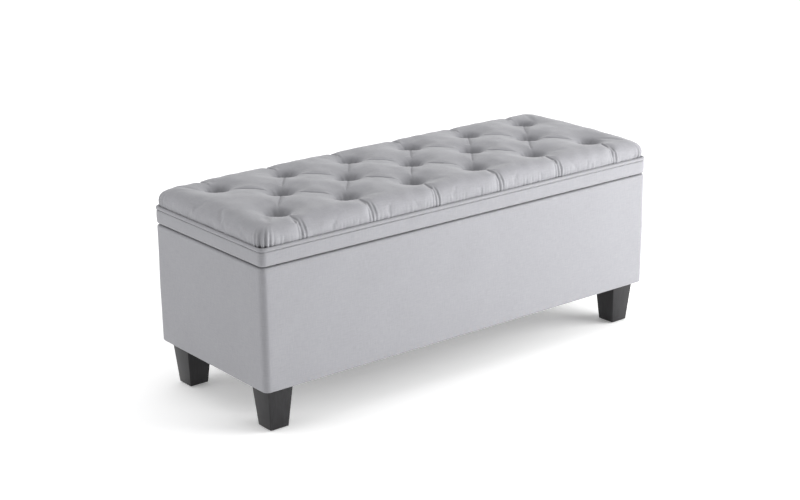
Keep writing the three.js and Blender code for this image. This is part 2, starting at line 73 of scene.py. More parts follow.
OUTLINE = half_size("base_cover")
BODY_BOTTOM, BODY_TOP = (corner.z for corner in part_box("base_cover"))
LID_BOTTOM, BAND_TOP = (corner.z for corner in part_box("lid_boxing"))
WELT_HEIGHT = middle("lid_welt").z
WELT_RADIUS = 0.0045  # of the frame's own cord
SEAT_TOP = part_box("tufted_cover")[1].z
WALL = half_size("tufted_cover")
BOARD = half_size("lid_board")
BOARD_BOTTOM, BOARD_TOP = (corner.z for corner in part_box("lid_board"))
WELL = half_size("storage_lining")
WELL_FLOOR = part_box("storage_lining")[0].z
PANEL_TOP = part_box("front_panel")[1].z
PANEL_OUT = half_size("front_panel").x
CORNER_RADIUS = 0.016  # of the box and the lid, seen from above

BUTTON_ROWS = ("front_button_row", "middle_button_row", "back_button_row")
BUTTON_RADIUS = half_size("middle_button_row").y
BUTTON_PITCH = 2 * (half_size("front_button_row").x - half_size("middle_button_row").x)
ROW_PITCH = middle("back_button_row").y


def row_places(node):
    """The middle of every button in a row, from left to right."""
    reach = half_size(node).x - BUTTON_RADIUS
    count = round(2 * reach / BUTTON_PITCH) + 1
    return [(-reach + i * BUTTON_PITCH, middle(node).y) for i in range(count)]


BUTTONS = [place for row in BUTTON_ROWS for place in row_places(row)]
OUTER_BUTTONS = row_places(BUTTON_ROWS[0]) + row_places(BUTTON_ROWS[2])


# ---------------------------------------------------------------- sizes and colours to change
def srgb(hex_value):
    """The linear colour of an sRGB hex value."""
    channels = [int(hex_value[i : i + 2], 16) / 255 for i in (1, 3, 5)]
    return tuple(c / 12.92 if c <= 0.04045 else ((c + 0.055) / 1.055) ** 2.4 for c in channels)


def length(name, description, default):
    return FloatProperty(name=name, description=description, default=default, min=0, unit="LENGTH")


def turn(name, description, degrees):
    return FloatProperty(name=name, description=description, default=math.radians(degrees), unit="ROTATION")


def colour(name, description, hex_value):
    return FloatVectorProperty(
        name=name, description=description, subtype="COLOR", min=0, max=1, default=srgb(hex_value)
    )


class BENCH_PG_tufting(PropertyGroup):
    pit_depth: length("Pit depth", "How deep each button draws the top in", 0.037)
    pit_core: length("Pit core", "Radius of the steep part of a pit", 0.0255)
    pit_skirt: length("Pit skirt", "Radius of the gentle slope round a pit", 0.043)
    valley_depth: length("Valley depth", "Depth of the valley between two buttons", 0.0034)
    valley_width: length("Valley width", "Half width of the valley between two buttons", 0.013)
    pleat_depth: length("Pleat depth", "Depth of the folded line in a valley", 0.0024)
    shoulder: length("Shoulder", "Width of the rounded edge of the top", 0.052)
    bulge: length("Bulge", "How far the side of the top stands out over its seam", 0.0055)
    crown: length("Crown", "How much higher the middle of the top is", 0.003)
    swell: length("Swell", "The furthest that the filling may push the cloth", 0.007)


class BENCH_PG_cover(PropertyGroup):
    cloth: colour("Cloth", "Colour of the woven cover", "#909094")
    lining: colour("Lining", "Colour of the lining cloth", "#2A2A2D")
    thread: length("Thread", "Distance between the threads of the cover", 0.0011)
    welt_radius: length("Welt radius", "Radius of the piped cord round the lid", 0.0047)
    edge_radius: length("Edge radius", "Rounding of the padded edges", 0.0055)


class BENCH_PG_legs(PropertyGroup):
    stain: colour("Stain", "Colour of the stained wood", "#1A191B")
    grain: length("Grain", "Distance between the grain lines", 0.0035)
    eased_edge: length("Eased edge", "Radius of the sanded edges", 0.002)


class BENCH_PG_view(PropertyGroup):
    azimuth: turn("Azimuth", "Turn of the camera round the bench", -38.294)
    elevation: turn("Elevation", "Height of the camera over the horizon", 18.10)
    roll: turn("Roll", "Tilt of the camera about its line of sight", -0.626)
    distance: length("Distance", "From the camera to the bench", 4.382)
    height: length("Height", "Height of the point that the camera looks at", 0.25)
    lens: FloatProperty(name="Lens", description="Focal length of the camera in mm", default=77.27)


# ---------------------------------------------------------------- objects
def deselect():
    bpy.ops.object.select_all(action="DESELECT")


def select_only(obj):
    deselect()
    obj.select_set(True)
    bpy.context.view_layer.objects.active = obj


def joined(pieces):
    select_only(pieces[0])
    for piece in pieces[1:]:
        piece.select_set(True)
    if len(pieces) > 1:
        bpy.ops.object.join()
    return bpy.context.object


def copied(master, places, turns=None):
    """Copies of a piece, each with its own mesh, joined into one. The master is used up."""
    copies = []
    for i, place in enumerate(places):
        copy = master.copy()
        copy.data = master.data.copy()
        bpy.context.scene.collection.objects.link(copy)
        copy.location = place
        if turns:
            copy.rotation_euler = turns[i]
        copies.append(copy)
    bpy.data.objects.remove(master)
    for copy in copies:
        apply_place(copy)
    return joined(copies)


def apply_place(obj):
    select_only(obj)
    bpy.ops.object.transform_apply(location=True, rotation=True, scale=True)


def placed(obj, name, body, slot, *replaces):
    """Names a finished piece, fixes it to its body and says which CAD nodes it stands for."""
    apply_place(obj)
    obj.name = obj.data.name = name
    obj.data.materials.clear()
    obj.data.materials.append(finish(slot))
    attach(obj, body)
    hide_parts(*replaces)
    return obj


# ---------------------------------------------------------------- hard pieces, modelled as by hand
def cube(low, high):
    deselect()
    low, high = Vector(low), Vector(high)
    bpy.ops.mesh.primitive_cube_add(size=1, location=(low + high) / 2)
    obj = bpy.context.object
    obj.scale = high - low
    apply_place(obj)
    return obj


def rod(radius, start, end, sides=32):
    """A cylinder from one point to another."""
    deselect()
    start, end = Vector(start), Vector(end)
    bpy.ops.mesh.primitive_cylinder_add(
        vertices=sides, radius=radius, depth=(end - start).length, location=(start + end) / 2
    )
    obj = bpy.context.object
    obj.rotation_euler = (end - start).to_track_quat("Z", "Y").to_euler()
    apply_place(obj)
    return obj


def select_faces(obj, wanted):
    """In edit mode, selects just the faces whose centre and normal pass a test."""
    bpy.ops.mesh.select_mode(type="FACE")
    bpy.ops.mesh.select_all(action="DESELECT")
    mesh = bmesh.from_edit_mesh(obj.data)
    for face in mesh.faces:
        face.select_set(wanted(face.calc_center_median(), face.normal))
    bmesh.update_edit_mesh(obj.data)


def select_points(obj, wanted):
    """In edit mode, selects just the vertices whose place passes a test."""
    bpy.ops.mesh.select_mode(type="VERT")
    bpy.ops.mesh.select_all(action="DESELECT")
    mesh = bmesh.from_edit_mesh(obj.data)
    for vertex in mesh.verts:
        vertex.select_set(wanted(vertex.co))
    mesh.select_flush(True)
    bmesh.update_edit_mesh(obj.data)


def turned(profile, sides=32):
    """A turned solid about Z: a disc drawn up through each (radius, height) of its profile."""
    (radius, height), (next_radius, next_height), *rest = profile
    obj = rod(radius, (0, 0, height), (0, 0, next_height), sides)
    bpy.ops.object.mode_set(mode="EDIT")
    select_faces(obj, lambda centre, normal: normal.z > 0.9)
    share = next_radius / radius
    bpy.ops.transform.resize(value=(share, share, 1), center_override=(0, 0, next_height))
    for radius, height in rest:
        bpy.ops.mesh.extrude_region_move(TRANSFORM_OT_translate={"value": (0, 0, height - next_height)})
        share = radius / next_radius
        bpy.ops.transform.resize(value=(share, share, 1), center_override=(0, 0, height))
        next_radius, next_height = radius, height
    bpy.ops.mesh.select_all(action="SELECT")
    bpy.ops.mesh.normals_make_consistent(inside=False)
    bpy.ops.object.mode_set(mode="OBJECT")
    return obj


def eased(obj, width, segments=3, sharp=40):
    """Rounds the sharp edges of a piece and smooths its shading."""
    select_only(obj)
    bevel = obj.modifiers.new("eased edges", "BEVEL")
    bevel.width = width
    bevel.segments = segments
    bevel.limit_method = "ANGLE"
    bevel.angle_limit = math.radians(sharp)
    bpy.ops.object.modifier_apply(modifier=bevel.name)
    bpy.ops.object.shade_smooth_by_angle(angle=math.radians(sharp))
    return obj


def strip(start, end, width, plane, thickness):
    """A flat steel strip with round ends, in the Y-Z plane: a disc whose far half is drawn out."""
    start, end = Vector(start), Vector(end)
    along = end - start
    obj = rod(width / 2, (plane, *start), (plane + thickness, *start), 48)
    bpy.ops.object.mode_set(mode="EDIT")
    select_points(obj, lambda point: (Vector((point.y, point.z)) - start).dot(along) > 1e-7)
    bpy.ops.transform.translate(value=(0, along.x, along.y))
    bpy.ops.object.mode_set(mode="OBJECT")
    return eased(obj, 0.0004, 2, 60)


def screw_head(radius):
    """A countersunk cross-head screw seen from above, its face at height 0."""
    profile = [(0.6, -0.4), (1.0, -0.05), (0.96, 0.1), (0.7, 0.22), (0.35, 0.28)]
    head = turned([(radius * share, radius * height) for share, height in profile], 20)
    for x, y in ((0.62, 0.13), (0.13, 0.62)):
        slot = cube(radius * Vector((-x, -y, -0.15)), radius * Vector((x, y, 0.5)))
        cut = head.modifiers.new("cross", "BOOLEAN")
        cut.object = slot
        cut.solver = "EXACT"
        select_only(head)
        bpy.ops.object.modifier_apply(modifier=cut.name)
        bpy.data.objects.remove(slot)
    bpy.ops.object.shade_smooth_by_angle(angle=math.radians(30))
    return head


def staples(name, body, places, quarter_turns, above=0.0001):
    """Crowns of wire staples in a cloth, a little proud of it."""
    half_length, half_wire = 0.005, 0.0006
    crown = cube((-half_length, -half_wire, -half_wire), (half_length, half_wire, above))
    turns = [(0, 0, quarter * math.pi / 2) for quarter in quarter_turns]
    return placed(copied(eased(crown, 0.0002, 1), places, turns), name, body, "zinc_steel")


def along_edges(half_x, half_y, spacing, height, margin=0.0, inset=0.0):
    """Places at even steps along the four edges of a rectangle, and which way each edge runs."""
    places, quarters = [], []
    for half_along, half_across, quarter in ((half_x, half_y, 0), (half_y, half_x, 1)):
        count, reach = round(2 * half_along / spacing), half_along - margin
        for i in range(count):
            at = (i + 0.5) / count * 2 * reach - reach
            for side in (-1, 1):
                across = side * (half_across - inset)
                places.append((at, across, height) if quarter == 0 else (across, at, height))
                quarters.append(quarter)
    return places, quarters


# ---------------------------------------------------------------- soft pieces, as mesh code
def mesh_object(name, points, faces):
    mesh = bpy.data.meshes.new(name)
    mesh.from_pydata(np.asarray(points).tolist(), [], faces)
    mesh.polygons.foreach_set("use_smooth", [True] * len(mesh.polygons))
    mesh.update()
    obj = bpy.data.objects.new(name, mesh)
    bpy.context.scene.collection.objects.link(obj)
    return obj


def write_cloth_map(obj, coordinates):
    """Keeps each vertex's place on the flat cloth, in metres, as the piece's UV map."""
    layer = obj.data.uv_layers.new(name="cloth")
    corners = np.zeros(len(obj.data.loops), np.int32)
    obj.data.loops.foreach_get("vertex_index", corners)
    layer.data.foreach_set("uv", np.asarray(coordinates, np.float32)[corners].ravel())


def bell(distance, width, power=2.0):
    return np.exp(-(np.abs(distance / width) ** power))


def smooth_step(value, low, high):
    share = np.clip((value - low) / (high - low), 0, 1)
    return share * share * (3 - 2 * share)


def ripple(along, wavelength, seed, waves=9):
    """Irregular waves along a line, about 1 high."""
    rng = np.random.default_rng(seed)
    total = np.zeros(np.shape(along))
    for _ in range(waves):
        wave = 2 * math.pi / (wavelength * rng.uniform(0.7, 1.6))
        total += np.sin(wave * along + rng.uniform(0, 2 * math.pi))
    return total / math.sqrt(waves)


def unevenness(x, y, wavelength, seed, waves=16):
    """Smooth irregular hills over a surface, about 1 high."""
    rng = np.random.default_rng(seed)
    total = np.zeros(np.shape(x))
    for _ in range(waves):
        angle = rng.uniform(0, 2 * math.pi)
        wave = 2 * math.pi / (wavelength * rng.uniform(0.7, 1.6))
        total += np.sin(wave * (math.cos(angle) * x + math.sin(angle) * y) + rng.uniform(0, 2 * math.pi))
    return total / math.sqrt(waves)


def outline(half_x, half_y, radius, spacing, corner_steps=8):
    """Points and outward directions round a rectangle with round corners, anticlockwise from above."""
    points, outward = [], []
    for quarter in range(4):
        angle = quarter * math.pi / 2
        normal = np.array((math.cos(angle), math.sin(angle)))
        along = np.array((-normal[1], normal[0]))
        reach, half_edge = (half_x, half_y - radius) if quarter % 2 == 0 else (half_y, half_x - radius)
        count = max(2, round(2 * half_edge / spacing))
        for step in range(count):
            points.append(reach * normal + half_edge * (2 * step / count - 1) * along)
            outward.append(normal)
        centre = (reach - radius) * normal + half_edge * along
        for step in range(corner_steps):
            bend = angle + step / corner_steps * math.pi / 2
            outward.append(np.array((math.cos(bend), math.sin(bend))))
            points.append(centre + radius * outward[-1])
    return np.array(points), np.array(outward)


def run_along(points):
    """How far along a line each of its points lies."""
    return np.concatenate([[0], np.cumsum(np.linalg.norm(np.diff(points, axis=0), axis=1))])


def ring_band(name, section, spacing, relief):
    """A closed ring of padding and cloth round the bench, with one cross-section of (out, height)."""
    points, outward = outline(OUTLINE.x, OUTLINE.y, CORNER_RADIUS, spacing)
    run = run_along(points)
    out, height = (np.array(column)[:, None] for column in zip(*section))
    out = out + relief(run[None, :], out, height)
    count, levels = len(points), len(section)
    place = np.empty((levels, count, 3))
    place[..., :2] = points + outward * out[..., None]
    place[..., 2] = height
    clear_of_knuckles(place)
    faces = []
    for level in range(levels):
        lower, upper = level * count, (level + 1) % levels * count
        for i in range(count):
            follow = (i + 1) % count
            faces.append((lower + i, lower + follow, upper + follow, upper + i))
    obj = mesh_object(name, place.reshape(-1, 3), faces)
    cloth = np.stack(np.broadcast_arrays(run[None, :], run_along(np.array(section))[:, None]), axis=-1)
    write_cloth_map(obj, cloth.reshape(-1, 2))
    return obj


def clear_of_knuckles(place):
    """Presses the cloth back from the hinge barrels."""
    for end, _ in ENDS:
        low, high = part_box(f"{end}_hinge_pin")
        room = half_size(f"{end}_hinge_base_leaf").z + 0.0012
        margin = 0.003
        near = (place[..., 0] > low.x - margin) & (place[..., 0] < high.x + margin)
        axis = middle(f"{end}_hinge_pin")
        away = place[..., 1:] - np.array((axis.y, axis.z))
        distance = np.maximum(np.linalg.norm(away, axis=-1), 1e-6)
        inside = near & (distance < room)
        pushed = np.array((axis.y, axis.z)) + away * (room / distance)[..., None]
        place[inside, 1:] = pushed[inside]


def arc(centre, radius, start, end, steps):
    """Points of an arc in a cross-section, angles in degrees."""
    angles = [math.radians(start + (end - start) * i / steps) for i in range(steps + 1)]
    return [(centre[0] + radius * math.cos(a), centre[1] + radius * math.sin(a)) for a in angles]


def straight(start, end, steps):
    """Points between two ends of a cross-section, both ends left out."""
    return [tuple(a + (b - a) * i / steps for a, b in zip(start, end)) for i in range(1, steps)]


# ---------------------------------------------------------------- the tufted top
TUFT_STEPS = 24  # grid steps from one button to the next row
SHOULDER_ROWS = 18  # grid rows from the flat top to the seam
TAIL_ROWS = 4  # grid rows of the hem, below the seam
SHOULDER_POWER = 2.5  # 2 is a round shoulder, and more is squarer
WIDEST = 0.7  # share of the fall at which the top's side stands out furthest
CROWN_ROOM = 0.006  # left below the frame's top for the crown and the filling
SEAM_HEIGHT = WELT_HEIGHT + 0.002
STRAIGHT_VALLEY_WIDTH = 0.013  # half width of the valleys that run over the shoulder
GATHERED_CORNER = 0.024
CORNER_FOLDS = 9


def shoulder_rows(width, drop, refine):
    """For each row from the flat top to the hem, its share of the width, its fall and the cloth's length."""
    bulge = bpy.context.scene.bench_tufting.bulge / width
    angle = np.linspace(0, math.pi / 2, 600)
    over, under = 2 / SHOULDER_POWER, angle[1:]
    share = np.concatenate([(1 + bulge) * np.sin(angle) ** over, 1 + bulge * np.cos(under)])
    fall = np.concatenate([WIDEST * (1 - np.cos(angle) ** over), WIDEST + (1 - WIDEST) * np.sin(under)])
    fall *= drop
    run = np.concatenate([[0], np.cumsum(np.hypot(np.diff(share) * width, np.diff(fall)))])
    even = np.linspace(0, run[-1], SHOULDER_ROWS * refine + 1)
    share, fall = np.interp(even, run, share), np.interp(even, run, fall)
    # The hem goes under the welt and down inside the band to the board: each place is (inward, down).
    to_board = SEAM_HEIGHT - BOARD_TOP - 0.0005
    hem = np.array([(0, 0), (0.0018, 0.0025), (0.0048, 0.006), (0.0055, 0.016), (0.0055, to_board)])
    at = np.linspace(0, TAIL_ROWS, TAIL_ROWS * refine + 1)[1:]
    inward, down, past = (np.interp(at, range(TAIL_ROWS + 1), values) for values in (*hem.T, run_along(hem)))
    share = np.concatenate([share, 1 - inward / width])
    return share, np.concatenate([fall, drop + down]), np.concatenate([even, even[-1] + past])


def rounded_corner(fraction, rounding):
    """A point along the path (0, 1) to (1, 0) round a unit square's corner, whose rounding is 0 to 1."""
    edge = 1 - rounding
    total = 2 * edge + rounding * math.pi / 2
    run = fraction * total
    bend = np.clip((run - edge) / np.maximum(rounding, 1e-9), 0, math.pi / 2)
    across = np.where(run < edge, run, edge + rounding * np.sin(bend))
    down = np.where(run > total - edge, total - run, edge + rounding * np.cos(bend))
    return across, down


def plain_top(refine):
    """The top before it is tufted: its grid of points, and each one's place on the flat cloth."""
    tufting = bpy.context.scene.bench_tufting
    step_x, step_y = BUTTON_PITCH / 2 / TUFT_STEPS, ROW_PITCH / TUFT_STEPS
    flat_x = int((WALL.x - tufting.shoulder) / step_x)
    flat_y = int((WALL.y - tufting.shoulder) / step_y)
    width_x, width_y = WALL.x - flat_x * step_x, WALL.y - flat_y * step_y
    step_x, step_y, flat_x, flat_y = step_x / refine, step_y / refine, flat_x * refine, flat_y * refine
    top = SEAT_TOP - CROWN_ROOM
    share, fall, run = shoulder_rows((width_x + width_y) / 2, top - SEAM_HEIGHT, refine)
    rows = len(share) - 1
    i = np.arange(-flat_x - rows, flat_x + rows + 1)[:, None]
    j = np.arange(-flat_y - rows, flat_y + rows + 1)[None, :]
    a, b = np.maximum(abs(i) - flat_x, 0) + 0 * j, np.maximum(abs(j) - flat_y, 0) + 0 * i
    ring = np.maximum(a, b)
    out_x, out_y = share[ring] * width_x, share[ring] * width_y
    safe = np.maximum(ring, 1)
    fraction = np.where(b == ring, a / safe / 2, 1 - b / safe / 2)
    rounding = np.minimum(1, 2 * GATHERED_CORNER / np.maximum(out_x + out_y, 1e-6))
    across, down = rounded_corner(fraction, rounding)
    in_corner = (a > 0) & (b > 0)
    across = np.where(in_corner, across, (a > 0) * 1.0)
    down = np.where(in_corner, down, (b > 0) * 1.0)
    flat_place_x, flat_place_y = np.clip(i, -flat_x, flat_x) * step_x, np.clip(j, -flat_y, flat_y) * step_y
    x = flat_place_x + np.sign(i) * across * out_x
    y = flat_place_y + np.sign(j) * down * out_y
    domed = (1 - (x / WALL.x) ** 2) * (1 - (y / WALL.y) ** 2)
    z = top - fall[ring] + tufting.crown * np.maximum(domed, 0)
    cloth = np.stack([flat_place_x + np.sign(i) * run[a], flat_place_y + np.sign(j) * run[b]], axis=-1)
    return np.stack([x, y, z], axis=-1), cloth, ring / refine


def surface_normals(points):
    across = np.cross(np.gradient(points, axis=0), np.gradient(points, axis=1))
    return across / np.maximum(np.linalg.norm(across, axis=-1, keepdims=True), 1e-12)


def diagonal_valleys():
    """Each valley's two ends: every middle button is drawn towards its four neighbours."""
    pairs = [(inner, outer) for inner in row_places(BUTTON_ROWS[1]) for outer in OUTER_BUTTONS]
    return [(inner, outer) for inner, outer in pairs if abs(inner[0] - outer[0]) < 0.6 * BUTTON_PITCH]


def from_line(points, start, end):
    """Signed distance from a line, positive towards the back, and the share of the way along it."""
    start, end = np.array(start), np.array(end)
    along = (end - start) / np.linalg.norm(end - start)
    sideways = np.array((-along[1], along[0])) if along[0] > 0 else np.array((along[1], -along[0]))
    offset = points[..., :2] - start
    return offset @ sideways, (offset @ along) / np.linalg.norm(end - start)


def button_distance(points):
    return np.min([np.hypot(points[..., 0] - x, points[..., 1] - y) for x, y in BUTTONS], axis=0)


def past_button(cloth, y):
    """How far past an outer button the cloth lies, towards the nearer long edge."""
    return np.sign(y) * cloth[..., 1] - abs(y)


def drawn_in(points, cloth):
    """The top with its pits and broad valleys."""
    tufting = bpy.context.scene.bench_tufting
    hollow = np.zeros(points.shape[:2])
    for start, end in diagonal_valleys():
        side, share = from_line(points, start, end)
        inside = smooth_step(share, -0.05, 0.1) * smooth_step(1 - share, -0.05, 0.1)
        depth = tufting.valley_depth * (0.62 + 0.38 * (2 * share - 1) ** 2)
        hollow = np.maximum(hollow, depth * inside * bell(side, tufting.valley_width))
    for x, y in OUTER_BUTTONS:
        past = past_button(cloth, y)
        inside = smooth_step(past, 0.03, 0.06) * (1 - 0.55 * smooth_step(past, 0.07, 0.13))
        depth = 0.7 * (1 + 0.9 * bell(past - 0.055, 0.03)) * tufting.valley_depth
        hollow = np.maximum(hollow, depth * inside * bell(cloth[..., 0] - x, STRAIGHT_VALLEY_WIDTH))
    deep = np.zeros(points.shape[:2])
    for x, y in BUTTONS:
        away = np.hypot(points[..., 0] - x, points[..., 1] - y)
        pit = 0.75 * bell(away, tufting.pit_core, 3.2) + 0.25 * bell(away, tufting.pit_skirt)
        deep = np.maximum(deep, tufting.pit_depth * pit)
    pulled = points - surface_normals(points) * hollow[..., None]
    pulled[..., 2] -= np.maximum(deep - hollow, 0) * (deep > 1e-5)
    return pulled


def diagonal_pleats(points, depth):
    """A fine dark line in the middle of each valley, with the cloth behind it lapped over."""
    relief = 0
    for number, (start, end) in enumerate(diagonal_valleys()):
        side, share = from_line(points, start, end)
        side = side + 0.0012 * np.sin(5.0 * share + 1.7 * number)
        pleat = depth * bell(side, 0.0018, 1.4)
        laps = 0.0007 * bell(side - 0.0042, 0.003) + 0.0002 * bell(side + 0.005, 0.004)
        relief = relief + smooth_step(share, 0.16, 0.38) * smooth_step(1 - share, 0.16, 0.38) * (laps - pleat)
    return relief


def straight_pleats(cloth, depth):
    """Pleats from the outer buttons over the shoulder to the welt, with a fold on each side near the hem."""
    relief = 0
    for number, (x, y) in enumerate(OUTER_BUTTONS):
        past = past_button(cloth, y)
        side = cloth[..., 0] - x - 0.004 * np.sin(2.3 * number) * smooth_step(past, 0.02, 0.12)
        pleat = 0.75 * depth * bell(side, 0.0016, 1.4)
        relief = relief + smooth_step(past, 0.026, 0.05) * (0.0009 * bell(side - 0.0042, 0.0024) - pleat)
        fan = 1 + 0.25 * smooth_step(past, 0.07, 0.12)
        grooves = bell(side - 0.0078 * fan, 0.0016, 1.5) + 0.6 * bell(side + 0.0072 * fan, 0.0016, 1.5)
        ridges = bell(side + 0.0038 * fan, 0.0022) + bell(side - 0.0115 * fan, 0.0026)
        relief = relief + smooth_step(past, 0.07, 0.1) * (0.0011 * ridges - 0.0014 * grooves)
    return relief


def button_gathers(points):
    """Small folds round each button."""
    relief = 0
    for number, (x, y) in enumerate(BUTTONS):
        reach = np.hypot(points[..., 0] - x, points[..., 1] - y)
        bearing = np.arctan2(points[..., 1] - y, points[..., 0] - x)
        waves = np.sin(8 * bearing + 1.3 * number) + 0.6 * np.sin(13 * bearing + 2.1 * number)
        relief = relief + 0.0006 * waves * bell(reach - 0.021, 0.010)
    return relief


def seam_folds(points, cloth, row):
    """Puckers along the seam with the welt, and the gathered cloth at the corners."""
    above = row <= SHOULDER_ROWS + 0.01
    rise = np.clip((SHOULDER_ROWS - row) / SHOULDER_ROWS, 0, 1)
    at_end = abs(cloth[..., 0]) / WALL.x > abs(cloth[..., 1]) / WALL.y
    run = np.where(at_end, points[..., 1], points[..., 0])
    puckers = 0.0004 * bell(rise, 0.2) * above * (row > 0) * ripple(run, 0.012, seed=11)
    flat_reach = abs(cloth[row == 0]).max(axis=0)
    past_x, past_y = (np.maximum(abs(cloth[..., axis]) - flat_reach[axis], 0) for axis in (0, 1))
    longer = np.maximum(np.maximum(past_x, past_y), 1e-6)
    bend = np.where(past_y >= past_x, past_x / longer / 2, 1 - past_y / longer / 2)
    gathered = (past_x > 0) * (past_y > 0) * above * bell(bend - 0.5, 0.24, 3) * bell(rise, 0.4, 3)
    folds = np.sin(2 * math.pi * CORNER_FOLDS * bend + 0.8 * np.sign(points[..., 0]))
    return puckers + 0.0026 * gathered * (folds - 0.5 * folds**2)


def folded(points, cloth, row):
    """How far each point stands out for the pleats, gathers and puckers. Nothing does on a button."""
    depth = bpy.context.scene.bench_tufting.pleat_depth
    relief = 0.00035 * unevenness(cloth[..., 0], cloth[..., 1], 0.05, seed=3)
    relief += diagonal_pleats(points, depth) + straight_pleats(cloth, depth)
    relief += button_gathers(points) + seam_folds(points, cloth, row)
    return relief * smooth_step(button_distance(points), 0.008, 0.014)


def grid_faces(columns, rows):
    return [
        (i * rows + j, (i + 1) * rows + j, (i + 1) * rows + j + 1, i * rows + j + 1)
        for i in range(columns - 1)
        for j in range(rows - 1)
    ]


def closed_top(name, points):
    """A mesh of the top's grid, closed underneath by a fan."""
    columns, rows = points.shape[:2]
    edge = [i * rows for i in range(columns)]
    edge += [(columns - 1) * rows + j for j in range(1, rows)]
    edge += [i * rows + rows - 1 for i in range(columns - 2, -1, -1)]
    edge += [j for j in range(rows - 2, 0, -1)]
    hub = columns * rows
    under = np.array([[0, 0, points[0, 0, 2]]])
    fan = [(edge[(k + 1) % len(edge)], edge[k], hub) for k in range(len(edge))]
    return mesh_object(name, np.concatenate([points.reshape(-1, 3), under]), grid_faces(columns, rows) + fan)


def filled(points, ring):
    """How the filling pushes the cloth, by cloth simulation: it is held at its hem, buttons and valleys."""
    tufting = bpy.context.scene.bench_tufting
    obj = closed_top("filling", points)
    held = np.zeros(points.shape[:2])
    for start, end in diagonal_valleys():
        side, share = from_line(points, start, end)
        held = np.maximum(held, 0.4 * bell(side, 0.005) * (share > 0) * (share < 1))
    held = np.maximum(held, 0.95 * bell(button_distance(points), 0.9 * tufting.pit_core, 5))
    held[(ring >= SHOULDER_ROWS) | (button_distance(points) < 0.010)] = 1.0
    group = obj.vertex_groups.new(name="held")
    for index, weight in enumerate([*held.ravel(), 1.0]):
        if weight > 0.02:
            group.add([index], float(weight), "REPLACE")
    cloth = obj.modifiers.new("filling", "CLOTH")
    cloth.settings.quality = 4
    cloth.settings.mass = 0.3
    cloth.settings.tension_stiffness = 15
    cloth.settings.compression_stiffness = 15
    cloth.settings.shear_stiffness = 5
    cloth.settings.bending_stiffness = 2.0
    cloth.settings.shrink_min = -0.004
    cloth.settings.use_pressure = True
    cloth.settings.uniform_pressure_force = 4
    cloth.settings.effector_weights.gravity = 0
    cloth.settings.vertex_group_mass = group.name
    cloth.collision_settings.use_collision = False
    cloth.point_cache.frame_start, cloth.point_cache.frame_end = 1, 20
    for step in range(1, 21):
        bpy.context.scene.frame_set(step)
    result = obj.evaluated_get(bpy.context.evaluated_depsgraph_get())
    moved = np.empty(len(result.data.vertices) * 3)
    result.data.vertices.foreach_get("co", moved)
    bpy.context.scene.frame_set(1)
    bpy.data.objects.remove(obj)
    push = moved.reshape(-1, 3)[:-1].reshape(points.shape) - points
    size = np.linalg.norm(push, axis=-1, keepdims=True)
    return push * tufting.swell * np.tanh(size / tufting.swell) / np.maximum(size, 1e-9)


def doubled(values, axis):
    """Twice as many points along an axis, by a cubic through each four neighbours."""
    values = np.moveaxis(values, axis, 0)
    between = (values[1:] + values[:-1]) / 2
    between[1:-1] = (9 * (values[1:-2] + values[2:-1]) - values[:-3] - values[3:]) / 16
    finer = np.empty((2 * len(values) - 1, *values.shape[1:]))
    finer[0::2], finer[1::2] = values, between
    return np.moveaxis(finer, 0, axis)


# ---------------------------------------------------------------- materials
def add_node(tree, kind, settings=None, **inputs):
    """Adds a node. An input is named, or is _ and its number, and is a value or a socket to link."""
    node = tree.nodes.new(kind)
    for key, value in (settings or {}).items():
        setattr(node, key, value)
    for key, value in inputs.items():
        socket = node.inputs[int(key[1:])] if key.startswith("_") else node.inputs[key.replace("_", " ")]
        if isinstance(value, bpy.types.NodeSocket):
            tree.links.new(value, socket)
        else:
            socket.default_value = value
    return node


def blank_material(name):
    material = bpy.data.materials.new(name)
    material.use_nodes = True
    tree = material.node_tree
    tree.nodes.clear()
    shader = add_node(tree, "ShaderNodeBsdfPrincipled")
    add_node(tree, "ShaderNodeOutputMaterial", Surface=shader.outputs["BSDF"])
    return material, tree, shader


def tone(rgb, factor=1.0):
    return (*(min(1.0, channel * factor) for channel in rgb), 1.0)


def dressed(tree, shader, share, tones, relief=None, strength=0.0, depth=0.0, **values):
    """Ends a material: a colour between two tones, a bump from a height, and its uniform values."""
    colour = add_node(tree, "ShaderNodeMix", {"data_type": "RGBA"}, _0=share, _6=tones[0], _7=tones[1])
    tree.links.new(colour.outputs[2], shader.inputs["Base Color"])
    if relief:
        bump = add_node(tree, "ShaderNodeBump", Height=relief, Strength=strength, Distance=depth)
        tree.links.new(bump.outputs["Normal"], shader.inputs["Normal"])
    for name, value in values.items():
        shader.inputs[name.replace("_", " ")].default_value = value


